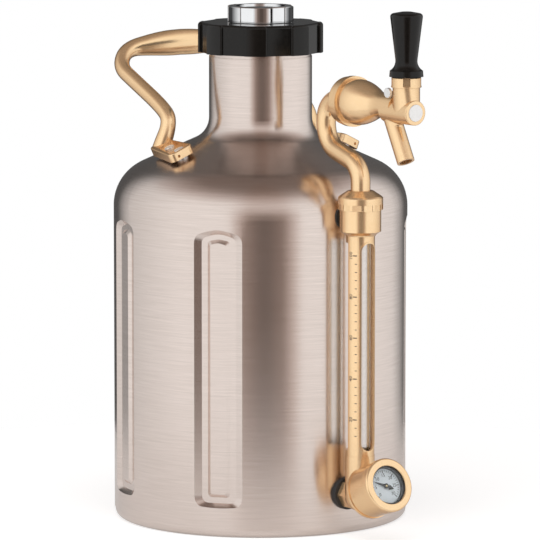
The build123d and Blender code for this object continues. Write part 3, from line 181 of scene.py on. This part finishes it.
def clouded(finish, clouds, detail, dark, light, smoothest, spread):
    """Lets a finish's colour and roughness wander together, by one noise, which it gives back."""
    pattern = finish.noise(clouds, detail)
    finish.set(Base_Color=finish.mixed(pattern, (*dark, 1), (*light, 1)), Roughness=smoothest + pattern * spread)
    return pattern


# %% [markdown]
# The body is stainless steel, tinted a warm champagne colour and brushed while it turned on a spindle, so
# thousands of fine scratches run level round it. They blur what is reflected up and down and leave it crisp from
# side to side. Real scratches could be a fine bump alone, but an anisotropic shader does the blurring at any
# distance, and the noise, stretched thin and flat, adds the scratches that the eye can still make out.

# %% Champagne steel
champagne = Finish("champagne_steel", (0.80, 0.70, 0.64), 0.24, 1.0, Anisotropic=0.78, Anisotropic_Rotation=0.25)
grain = champagne.noise((40, 40, 3400), detail=4.0, roughness=0.65)
streak = champagne.noise((34, 34, 1150), detail=3.0, roughness=0.6)
cloud = champagne.noise((16, 16, 9))
shade = (grain - 0.5) * 0.9 + (streak - 0.5) * 0.65 + (cloud - 0.5) * 0.35 + 0.5
champagne.set(
    Base_Color=champagne.mixed(shade.clipped(), (0.66, 0.565, 0.51, 1), (0.86, 0.76, 0.71, 1)),
    Roughness=0.235 + (cloud - 0.5) * 0.06,
)
SCRATCH_DEPTH = 0.000005
champagne.relief(grain, SCRATCH_DEPTH)
print("champagne steel has", len(champagne.tree.nodes), "nodes")

# %% [markdown]
# Inside the keg and on the small fixings the steel is left its own grey. The inner wall and the sleeve were turned,
# so their noise is squashed into level rings; the fasteners, the spring and the gas cartridge have even clouds.

# %% Plain steels
inner = Finish("inner_steel", (0.64, 0.63, 0.62), 0.32, 1.0)
clouded(inner, (60, 60, 1800), 3.0, (0.55, 0.54, 0.53), (0.70, 0.69, 0.68), smoothest=0.28, spread=0.12)

silver = Finish("silver_steel", (0.84, 0.83, 0.82), 0.30, 0.75)
clouded(silver, even(900), 3.0, (0.78, 0.77, 0.76), (0.90, 0.89, 0.88), smoothest=0.25, spread=0.12)

spring = Finish("spring_steel", (0.45, 0.45, 0.46), 0.30, 1.0)
clouded(spring, even(700), 3.0, (0.36, 0.36, 0.37), (0.54, 0.54, 0.55), smoothest=0.24, spread=0.14)

sleeve = Finish("sleeve_aluminium", grey(0.78), 0.30, 1.0)
clouded(sleeve, (20, 20, 3000), 2.0, grey(0.72), grey(0.84), smoothest=0.24, spread=0.14)

cartridge = Finish("cartridge_steel", (0.70, 0.70, 0.69), 0.34, 1.0)
clouded(cartridge, even(500), 4.0, (0.60, 0.60, 0.59), (0.80, 0.80, 0.79), smoothest=0.26, spread=0.20)
print("finishes so far", len(FINISHES))

# %% [markdown]
# The regulator knob is plated with bright chrome. Where one of its flutes turns away, a dark line is painted into
# its
# colour as a painted reflection: Layer Weight tells how far the surface turns away from the viewer, and the painted
# darkening is kept to upright faces, so the top and the disc stay bright.

# %% Chrome
chrome = Finish("knob_chrome", (0.86, 0.87, 0.88), 0.05, 1.0)
chrome_cloud = chrome.noise(even(240))
plating = chrome.mixed(chrome_cloud, (0.82, 0.83, 0.84, 1), (0.90, 0.91, 0.92, 1))
# Painted reflection: a mask for the dark lines painted into the chrome's colour where it turns from the viewer.
painted_reflection_mask = chrome.wire(chrome.node("LayerWeight", Blend=0.5), "Facing").ramp(0.22, 0.50)
facing_up = chrome.wire(chrome.node("SeparateXYZ", Vector=chrome.wire(chrome.node("TexCoord"), "Normal")), "Z")
upright = 1 - abs(facing_up).ramp(0.3, 0.6)
chrome.set(
    Base_Color=chrome.mixed(painted_reflection_mask * upright, plating, (0.02, 0.02, 0.022, 1)),
    Roughness=0.03 + chrome_cloud * 0.05,
)
print("chrome has", len(chrome.tree.nodes), "nodes")

# %% [markdown]
# The fittings are brass with a satin plating, warm and pale. Painted shade takes the colour to a deep orange brown
# towards its edges: it is mixed from the pale and a deep colour by how far the surface turns from the viewer. A
# metallic value a little under 1 leaves it a soft pale bloom, as plating has. The turned brass underneath is
# plainer.

# %% Brass
brass = Finish("satin_brass", (0.98, 0.715, 0.44), 0.24, 0.82)
brass_grain = brass.noise((320, 320, 2400), detail=3.0, roughness=0.6)
brass_cloud = brass.noise(even(70))
wander = (brass_grain * 0.6 + brass_cloud * 0.4).clipped()
pale = brass.mixed(wander, (0.95, 0.63, 0.335, 1), (1.0, 0.77, 0.49, 1))
# Painted shade: how far the surface turns from the viewer, which darkens the brass's colour towards its edges.
edge = brass.wire(brass.node("LayerWeight", Blend=0.5), "Facing").ramp(0.18, 0.95) * 0.8
brass.set(
    Base_Color=brass.mixed(edge, pale, (0.46, 0.21, 0.06, 1)),
    Roughness=0.20 + (brass_cloud - 0.5) * 0.08 + (brass_grain - 0.5) * 0.06,
)
SATIN_DEPTH = 0.000003
brass.relief(brass_grain, SATIN_DEPTH)

turned_brass = Finish("plain_brass", (0.80, 0.60, 0.30), 0.28, 1.0)
clouded(turned_brass, (200, 200, 2400), 3.0, (0.72, 0.53, 0.25), (0.88, 0.68, 0.36), smoothest=0.24, spread=0.12)
print("satin brass has", len(brass.tree.nodes), "nodes")

# %% [markdown]
# The black parts are a glossy grip and tap handle, matt moulded plastic inside, rubber seals, and paint on the
# needle and in the printed marks. They differ in their roughness more than in their colour, and only the moulded
# plastic has a grain that stands proud.

# %% Black parts
gloss = Finish("black_gloss", (0.006, 0.005, 0.005), 0.10, 0.0, Specular_IOR_Level=0.28)
clouded(gloss, even(500), 2.0, (0.004, 0.0035, 0.003), (0.009, 0.008, 0.007), smoothest=0.08, spread=0.10)

plastic = Finish("black_plastic", grey(0.022), 0.45)
spark = clouded(plastic, even(1800), 2.0, grey(0.016), grey(0.030), smoothest=0.38, spread=0.16)
SPARK_DEPTH = 0.00003
plastic.relief(spark, SPARK_DEPTH)

rubber = Finish("black_rubber", grey(0.024), 0.62)
clouded(rubber, even(260), 4.0, grey(0.016), grey(0.036), smoothest=0.52, spread=0.2)

paint = Finish("black_paint", (0.015, 0.015, 0.016), 0.35)
paint.set(Roughness=0.30 + paint.noise(even(1500), detail=2.0) * 0.12)
print("finishes so far", len(FINISHES))

# %% [markdown]
# The dial is a white enamelled disc. Glass stands in front of it and round the beer in the sight tube. Both glasses
# are one clear shader with their own index, and a faint noise in the roughness keeps them from looking computed.

# %% Enamel and glass
enamel = Finish("white_enamel", (0.80, 0.85, 0.88), 0.42)
enamel.set(Base_Color=enamel.mixed(enamel.noise(even(300)), (0.84, 0.88, 0.92, 1), (0.88, 0.92, 0.95, 1)))

for name, ior in (("clear_glass", 1.48), ("clear_lens", 1.45)):
    glass = Finish(name, (0.97, 0.985, 0.985), 0.0, 0.0, Transmission_Weight=1.0, IOR=ior)
    glass.set(Roughness=glass.noise((90, 90, 30), detail=2.0) * 0.02)
print("finishes", sorted(FINISHES))

# %% [markdown]
# Each part could be dressed by hand, but the parts list already carries the name of its finish, so dressing the
# whole keg is one loop.

# %% Dress the parts
wanted = {part["node"]: part["material_slot"] for part in frame["record"]["subparts"]}
for name, part in frame["nodes"].items():
    for slot in part.material_slots:
        slot.material = FINISHES[wanted[name]].material
print("dressed", len(wanted), "parts in", len(set(wanted.values())), "finishes")

# %% [markdown]
# Every added piece is shaped as a bmesh and then handed over in the same way: its faces are turned outwards, it is
# shaded smooth with its sharp edges kept, it gets a finish, and it rides on the body that carries it.

# %% Added pieces
CRISP = radians(35)


def as_object(name, bm, finish):
    """Turns a finished bmesh into an object; its edges over the crisp angle stay sharp."""
    bmesh.ops.recalc_face_normals(bm, faces=bm.faces[:])
    for face in bm.faces:
        face.smooth = True
    for edge in bm.edges:
        edge.smooth = edge.calc_face_angle(0) < CRISP
    mesh = bpy.data.meshes.new(name)
    bm.to_mesh(mesh)
    bm.free()
    piece = bpy.data.objects.new(name, mesh)
    bpy.context.collection.objects.link(piece)
    mesh.materials.append(FINISHES[finish].material)
    print(name, len(mesh.polygons), "faces")
    return piece


def new_piece(name, bm, finish, body="vessel"):
    """An object that rides on a body of the keg."""
    piece = as_object(name, bm, finish)
    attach(piece, body)
    return piece


# %% [markdown]
# The level scale is printed on the sight tube's shield: long strokes a fifth of the bottle apart with four short
# ones between each pair. A picture could be wrapped round the tube, but a stroke that is a thin bar, swept round
# the tube's axis, stays sharp from near by and hugs the brass.

# %% Level scale
TUBE = Vector((0, -0.102, 0))
SHIELD_R = 0.0085
PRINT = 0.00006  # how thick the paint of the scale lies
FIRST_STROKE = 0.0713
STROKE_STEP = 0.02413
SCALE_EDGE = radians(49.5)  # where the strokes start, turned from the tap's side towards the viewer's left
STROKES = range(-2, 21)
LONG_STROKE = (0.0026, 0.00058)  # length round the tube, and height
SHORT_STROKE = (0.0013, 0.00040)


def bent_bar(bm, middle, length, height):
    """A flat bar swept round the Z axis, which lies on the shield."""
    made = bmesh.ops.create_grid(bm, x_segments=1, y_segments=1, size=0.5)["verts"]
    bmesh.ops.scale(bm, verts=made, vec=(PRINT, height, 1))
    bmesh.ops.rotate(bm, verts=made, matrix=Matrix.Rotation(pi / 2, 3, "X"))
    bmesh.ops.translate(bm, verts=made, vec=(SHIELD_R + PRINT / 2, 0, middle))
    bmesh.ops.rotate(bm, verts=made, matrix=Matrix.Rotation(-pi / 2 - SCALE_EDGE, 3, "Z"))
    faces = made[0].link_faces[:]
    edges = faces[0].edges[:]
    bmesh.ops.spin(bm, geom=made + edges + faces, axis=(0, 0, 1), angle=-length / SHIELD_R, steps=4)


bm = bmesh.new()
for stroke in STROKES:
    length, height = LONG_STROKE if stroke % 5 == 0 else SHORT_STROKE
    bent_bar(bm, FIRST_STROKE + STROKE_STEP * stroke / 5, length, height)
bmesh.ops.translate(bm, verts=bm.verts[:], vec=TUBE)
new_piece("scale_strokes", bm, "black_paint")

# %% [markdown]
# A plain number lies on its side by each long stroke. Text is the quickest way to shape a digit, but it is flat, so
# it is made a mesh first and each of its points is then laid round the tube.

# %% Numbers on the scale
NUMBER_SIZE = 0.0031
NUMBER_TURN = radians(76)


def written(text, size, thick):
    """Letters as a closed mesh, lying in XY round the origin."""
    curve = bpy.data.curves.new("letters", "FONT")
    curve.body = text
    curve.size = size
    curve.extrude = thick / 2
    curve.resolution_u = 3
    curve.align_x = "CENTER"
    curve.align_y = "CENTER"
    letters = bpy.data.objects.new("letters", curve)
    bpy.context.collection.objects.link(letters)
    mesh = bpy.data.meshes.new_from_object(letters.evaluated_get(bpy.context.evaluated_depsgraph_get()))
    bpy.data.objects.remove(letters)
    return mesh


bm = bmesh.new()
for fifth in range(5):
    letters = written(str(20 * (fifth + 1)), NUMBER_SIZE, PRINT)
    fresh = bmesh.new()
    fresh.from_mesh(letters)
    for vert in fresh.verts:
        turn = -pi / 2 - NUMBER_TURN - vert.co.y / SHIELD_R
        radius = SHIELD_R + PRINT / 2 + vert.co.z
        height = FIRST_STROKE + STROKE_STEP * fifth + vert.co.x
        vert.co = Vector((radius * cos(turn), radius * sin(turn), height)) + TUBE
    fresh.to_mesh(letters)
    fresh.free()
    bm.from_mesh(letters)
bmesh.ops.remove_doubles(bm, verts=bm.verts[:], dist=1e-7)
new_piece("scale_numbers", bm, "black_paint")

# %% [markdown]
# The gauge's dial is printed black, with a stroke for each step over three quarters of the face. The strokes are
# made flat and level first, and one matrix then lays them all on the tilted dial.

# %% Strokes on the dial
TILT = radians(20.5)
FACING = Vector((0, -cos(TILT), sin(TILT)))
DIAL_FACE = Vector((0, -0.102, 0.0248)) + FACING * 0.02641
dial_place = Matrix.Translation(DIAL_FACE) @ Matrix((
    (1, 0, 0, 0),
    (0, sin(TILT), FACING.y, 0),
    (0, cos(TILT), FACING.z, 0),
    (0, 0, 0, 1),
))
DIAL_START = radians(225)
DIAL_SWEEP = radians(270)
DIAL_STEPS = 30
STEPS_TO_A_NUMBER = 5
INK = 0.00005
LONG_MARK = (0.00046, 0.0018, 0.0088)  # width, length, and reach of its middle from the dial's centre
SHORT_MARK = (0.00026, 0.0011, 0.0091)


def on_dial(step):
    """The direction of a step on the dial."""
    return DIAL_START - DIAL_SWEEP * step / DIAL_STEPS


def flat_bar(bm, width, length, reach, turn):
    """A printed stroke that points at the dial's centre, its middle at the given reach."""
    made = bmesh.ops.create_cube(bm, size=1)["verts"]
    bmesh.ops.scale(bm, verts=made, vec=(length, width, INK))
    bmesh.ops.translate(bm, verts=made, vec=(reach, 0, INK / 2))
    bmesh.ops.rotate(bm, verts=made, matrix=Matrix.Rotation(turn, 3, "Z"))


bm = bmesh.new()
for step in range(DIAL_STEPS + 1):
    flat_bar(bm, *(SHORT_MARK if step % STEPS_TO_A_NUMBER else LONG_MARK), on_dial(step))
bmesh.ops.transform(bm, matrix=dial_place, verts=bm.verts[:])
new_piece("dial_strokes", bm, "black_paint")

# %% [markdown]
# Plain numbers stand inside the long strokes. They are text again, made a mesh and moved to its place.

# %% Numbers on the dial
DIAL_NUMBER_SIZE = 0.0028
DIAL_NUMBER_REACH = 0.0066

bm = bmesh.new()
for step in range(0, DIAL_STEPS + 1, STEPS_TO_A_NUMBER):
    letters = written(str(step), DIAL_NUMBER_SIZE, INK)
    aside = Vector((cos(on_dial(step)), sin(on_dial(step)), 0)) * DIAL_NUMBER_REACH
    letters.transform(Matrix.Translation(aside + Vector((0, 0, INK / 2))))
    letters.transform(dial_place)
    bm.from_mesh(letters)
bmesh.ops.remove_doubles(bm, verts=bm.verts[:], dist=1e-7)
new_piece("dial_numbers", bm, "black_paint")

# %% [markdown]
# The needle is held on its spindle by a small brass rivet. A short cone makes its domed head, and it rides on the
# needle's body, so it turns with it.

# %% Rivet
RIVET_REACH = 0.00166  # from the dial to the middle of the rivet, just above the needle's hub

bm = bmesh.new()
bmesh.ops.create_cone(bm, cap_ends=True, segments=32, radius1=0.0007, radius2=0.0005, depth=0.0003)
bmesh.ops.translate(bm, verts=bm.verts[:], vec=(0, 0, RIVET_REACH))
bmesh.ops.transform(bm, matrix=dial_place, verts=bm.verts[:])
new_piece("needle_rivet", bm, "plain_brass", "needle")

# %% [markdown]
# The carrying handle is one casting: a tall oval grip across the back runs in a single sweep round the corner,
# down the leg and into its foot. A curve with a bevel could be swept, but its section would stay the same. So a
# ring is carried along a rounded line: each step copies the ring by an extrusion, turns it with the line and
# stretches it to its next section.

# %% Line of the handle
HANDLE_LINE = (
    (0, 0.0855, 0.2795),
    (-0.020, 0.0855, 0.2790),
    (-0.040, 0.0855, 0.2770),
    (-0.050, 0.0770, 0.2670),
    (-0.0505, 0.060, 0.2598),
    (-0.050, 0.030, 0.2460),
    (-0.0509, 0.0209, 0.2386),
    (-0.0556, 0.0245, 0.2214),
)
ROUNDS = 4


def rounded(corners, rounds):
    """Cuts the corners off a line again and again, until it is one smooth curve."""
    line = [Vector(corner) for corner in corners]
    for _ in range(rounds):
        cut = [line[0]]
        for first, second in zip(line, line[1:]):
            cut += [first.lerp(second, 0.25), first.lerp(second, 0.75)]
        line = cut + [line[-1]]
    return line


line = rounded(HANDLE_LINE, ROUNDS)
print("handle line", len(line), "points")

# %% [markdown]
# Along the line the section changes: a round leg, a slightly thicker root at the foot, and a grip that is taller
# than it is thick. Each change is eased in, so no step shows.

# %% Sweep of the handle
LEG_R = 0.0046
ROOT_R = 0.0053
GRIP_HALF_TALL = 0.0079
GRIP_HALF_THICK = 0.0054
SWELL = (-0.046, -0.004)  # where along X the grip starts to swell, and where it is full
FLARE = (0.238, 0.2225)  # the heights where the root starts to thicken, and where it is full
RING_SIDES = 40


def eased(value, low, high):
    """0 at low, 1 at high, and a soft S between."""
    share = min(max((value - low) / (high - low), 0), 1)
    return share * share * (3 - 2 * share)


def section(point):
    """Half the thickness and half the height of the handle at a point of its line."""
    swell = eased(point.x, *SWELL)
    leg = LEG_R + (ROOT_R - LEG_R) * eased(point.z, *FLARE)
    return leg + (GRIP_HALF_THICK - leg) * swell, leg + (GRIP_HALF_TALL - leg) * swell


bm = bmesh.new()
ahead = Vector((-1, 0, 0))
turn = Matrix(((0, 0, -1), (-1, 0, 0), (0, 1, 0)))
ring = bmesh.ops.create_circle(bm, segments=RING_SIDES, radius=1)["verts"]
edges = bm.edges[:]
before = Matrix.Identity(4)
for index, point in enumerate(line):
    if index:
        made = bmesh.ops.extrude_edge_only(bm, edges=edges)["geom"]
        ring = [item for item in made if isinstance(item, bmesh.types.BMVert)]
        fresh = set(ring)
        edges = [item for item in made if isinstance(item, bmesh.types.BMEdge) and fresh.issuperset(item.verts)]
        heading_on = (line[min(index + 1, len(line) - 1)] - line[index - 1]).normalized()
        turn = ahead.rotation_difference(heading_on).to_matrix() @ turn
        ahead = heading_on
    place = Matrix.Translation(point) @ turn.to_4x4() @ Matrix.Diagonal((*section(point), 1, 1))
    bmesh.ops.transform(bm, matrix=place @ before.inverted(), verts=ring)
    before = place
print("sweep", len(bm.faces), "faces")

# %% [markdown]
# The sweep is cut off inside its foot. The feet are kept from the exact part, cut just above their trays, so the
# screws sit as they did. The second half is a mirror image.

# %% Feet of the handle
FOOT_PLACE = Vector((-0.05793, 0.00814, 0.21902))
FOOT_UP = Vector((-0.4075, 0.0573, 0.9114)).normalized()
FOOT_UNDERSIDE = 0.0015
FOOT_TOP = 0.00645
LEFT_FOOT_ENDS = -0.02


def on_plane(edge, place, normal):
    return all(abs((vert.co - place).dot(normal)) < 1e-6 for vert in edge.verts)


def keep_one_side(bm, place, normal, **side):
    """Cuts a closed form by a plane, keeps one side and closes the cut."""
    geometry = bm.verts[:] + bm.edges[:] + bm.faces[:]
    bmesh.ops.bisect_plane(bm, geom=geometry, dist=1e-7, plane_co=place, plane_no=normal, **side)
    rim = [edge for edge in bm.edges if edge.is_boundary and on_plane(edge, place, normal)]
    bmesh.ops.holes_fill(bm, edges=rim)


keep_one_side(bm, FOOT_PLACE + FOOT_UP * FOOT_UNDERSIDE, FOOT_UP, clear_inner=True)

foot = bmesh.new()
foot.from_mesh(frame["nodes"]["carry_handle"].data)
bmesh.ops.remove_doubles(foot, verts=foot.verts[:], dist=1e-6)
keep_one_side(foot, Vector((LEFT_FOOT_ENDS, 0, 0)), Vector((1, 0, 0)), clear_outer=True)
keep_one_side(foot, FOOT_PLACE + FOOT_UP * FOOT_TOP, FOOT_UP, clear_outer=True)
foot_mesh = bpy.data.meshes.new("foot")
foot.to_mesh(foot_mesh)
foot.free()
bm.from_mesh(foot_mesh)
bmesh.ops.mirror(bm, geom=bm.verts[:] + bm.edges[:] + bm.faces[:], axis="X", merge_dist=1e-6)
bmesh.ops.remove_doubles(bm, verts=bm.verts[:], dist=1e-7)
print("open edges", sum(edge.is_boundary for edge in bm.edges))
handle = new_piece("handle_casting", bm, "satin_brass")
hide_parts("carry_handle")

# %% [markdown]
# The keg stands on a white table. To whoever looks at it the table is plain white, and in the polished metal it
# gives a soft glow, so it has one level for each kind of ray. Its own colour keeps the keg's shadow.

# %% Table
TABLE_R = 0.36
OWN_WHITE = (0.86, 0.86, 0.855)
DULLED = grey(0.5)  # its colour where it also glows, so that colour and glow together don't pass white
GLOW_TO_THE_EYE = grey(0.64)
GLOW_IN_METAL = grey(0.26)

bm = bmesh.new()
bmesh.ops.create_circle(bm, cap_ends=True, segments=96, radius=TABLE_R)
bmesh.ops.translate(bm, verts=bm.verts[:], vec=(0, 0, first_box[0].z))
top = Finish("table_top", OWN_WHITE, 0.6)
paths = top.node("LightPath")
mirrored = top.wire(paths, "Is Glossy Ray")
looked_at = (top.wire(paths, "Is Camera Ray") + top.wire(paths, "Is Transmission Ray")).clipped()
glow = top.mixed(mirrored, (*grey(0), 1), (*GLOW_IN_METAL, 1))
top.set(
    Base_Color=top.mixed((looked_at + mirrored).clipped(), (*OWN_WHITE, 1), (*DULLED, 1)),
    Emission_Color=top.mixed(looked_at, glow, (*GLOW_TO_THE_EYE, 1)),
    Emission_Strength=1.0,
)
table = as_object("table", bm, "table_top")

# %% [markdown]
# Metal is only as good as what it mirrors. The room is painted on the world: a level of brightness for each
# heading round the keg and each height. Its walls are bright, its ceiling is dark, and a darker stretch lies
# behind the viewer, which is what puts the long soft shadow down the middle of a steel cylinder. Walls could be
# real boards, but a painted world has no edges to hide. The viewer sees plain white.

# %% Directions in the room
VIEW_TURN = radians(34.8)
world = bpy.data.worlds.new("room")
bpy.context.scene.world = world
world.use_nodes = True
room = Tree(world.node_tree)
room.tree.nodes.clear()
direction = room.wire(room.node("TexCoord"), "Generated")
turned_to = room.wire(room.node("Mapping", {"vector_type": "POINT"}, Vector=direction, Rotation=(0, 0, VIEW_TURN)))
parts_of = room.node("SeparateXYZ", Vector=turned_to)
rightward = room.wire(parts_of, "X")
away = room.wire(parts_of, "Y")
upward = room.wire(parts_of, "Z")
heading = rightward.apply("ARCTAN2", rightward, 0 - away) * (180 / pi)
print("direction nodes", len(room.tree.nodes))

# %% [markdown]
# Each stretch of the room is a range of headings, in degrees from the viewer's, positive to the right, with a soft
# edge. The levels are added up and kept between 0 and 1.

# %% Brightness of the room
DARK_STRETCH = (-17, 25, 16)  # from, to, and the width of the soft edges
DARKEST_STRETCH = (-3, 10, 5)
LIT_WALLS = (-136, 140, 26)
CEILING_LEVEL = 0.19
WARM = (1, 0.72, 0.60, 1)


def between(value, low, high, soft):
    """1 between two values, fading to 0 over a soft edge on each side."""
    rises = value.ramp(low - soft / 2, low + soft / 2)
    falls = 1 - value.ramp(high - soft / 2, high + soft / 2)
    return rises * falls


gap = between(heading, *DARK_STRETCH) * (1 - 0.75 * upward.ramp(-0.02, 0.40))
core = between(heading, *DARKEST_STRETCH) * (1 - upward.ramp(0.1, 0.3))
dusk_left = 0.26 * (0 - heading).ramp(66, 118)
dusk_right = 0.16 * heading.ramp(90, 130)
behind_keg = 1 - between(heading, *LIT_WALLS)
walls = (1 - 0.83 * gap - 0.07 * core - dusk_left - dusk_right) * (1 - 0.88 * behind_keg)
ceiling = upward.ramp(0.56, 0.90)
level = walls * (1 - ceiling) + CEILING_LEVEL * ceiling
rays = room.node("LightPath")
seen = (room.wire(rays, "Is Camera Ray") + room.wire(rays, "Is Transmission Ray")).clipped()
unseen = 1 - seen
dark = (gap + ceiling * 0.8).clipped()
tint = room.mixed((unseen * dark).clipped(), (*grey(1), 1), WARM)
background = room.node("Background", Color=tint, Strength=(seen + unseen * level).clipped())
room.node("OutputWorld", Surface=room.wire(background))
print("room nodes", len(room.tree.nodes))

# %% [markdown]
# Two large soft lamps lift the dull black parts and the dial. They aren't mirrored, so no square patch of light
# appears in the metal.

# %% Lamps
MIDDLE = (0, 0, 0.15)


def lamp(name, place, size, power):
    """A square soft light aimed at the keg's middle, which isn't mirrored in the metal."""
    data = bpy.data.lights.new(name, "AREA")
    data.size = size
    data.energy = power
    light = bpy.data.objects.new(name, data)
    bpy.context.collection.objects.link(light)
    light.location = place
    light.rotation_euler = (Vector(MIDDLE) - Vector(place)).to_track_quat("-Z", "Y").to_euler()
    light.visible_glossy = False
    print(name, "lamp,", power, "W")


lamp("overhead", (-0.4, -0.5, 1.6), 1.4, 18)
lamp("left", (-1.7, -0.6, 0.8), 1.0, 8)

# %% [markdown]
# The camera stands well back and a little above, to the left of the tap, with a long lens, so the keg's upright
# sides stay nearly parallel. The view transform is Standard, which shows a colour about as it is written.

# %% Camera
DISTANCE = 2.95
EYE_HEIGHT = 0.525
AIM = Vector((0.00465, -0.00323, 0.1479))
camera = bpy.data.objects.new("camera", bpy.data.cameras.new("camera"))
bpy.context.collection.objects.link(camera)
camera.location = (-DISTANCE * sin(VIEW_TURN), -DISTANCE * cos(VIEW_TURN), EYE_HEIGHT)
camera.rotation_euler = (AIM - camera.location).to_track_quat("-Z", "Y").to_euler()
camera.data.sensor_width = 36
camera.data.lens = 330.3
bpy.context.scene.camera = camera
bpy.context.scene.view_settings.view_transform = "Standard"
print("camera at", [round(v, 3) for v in camera.location])
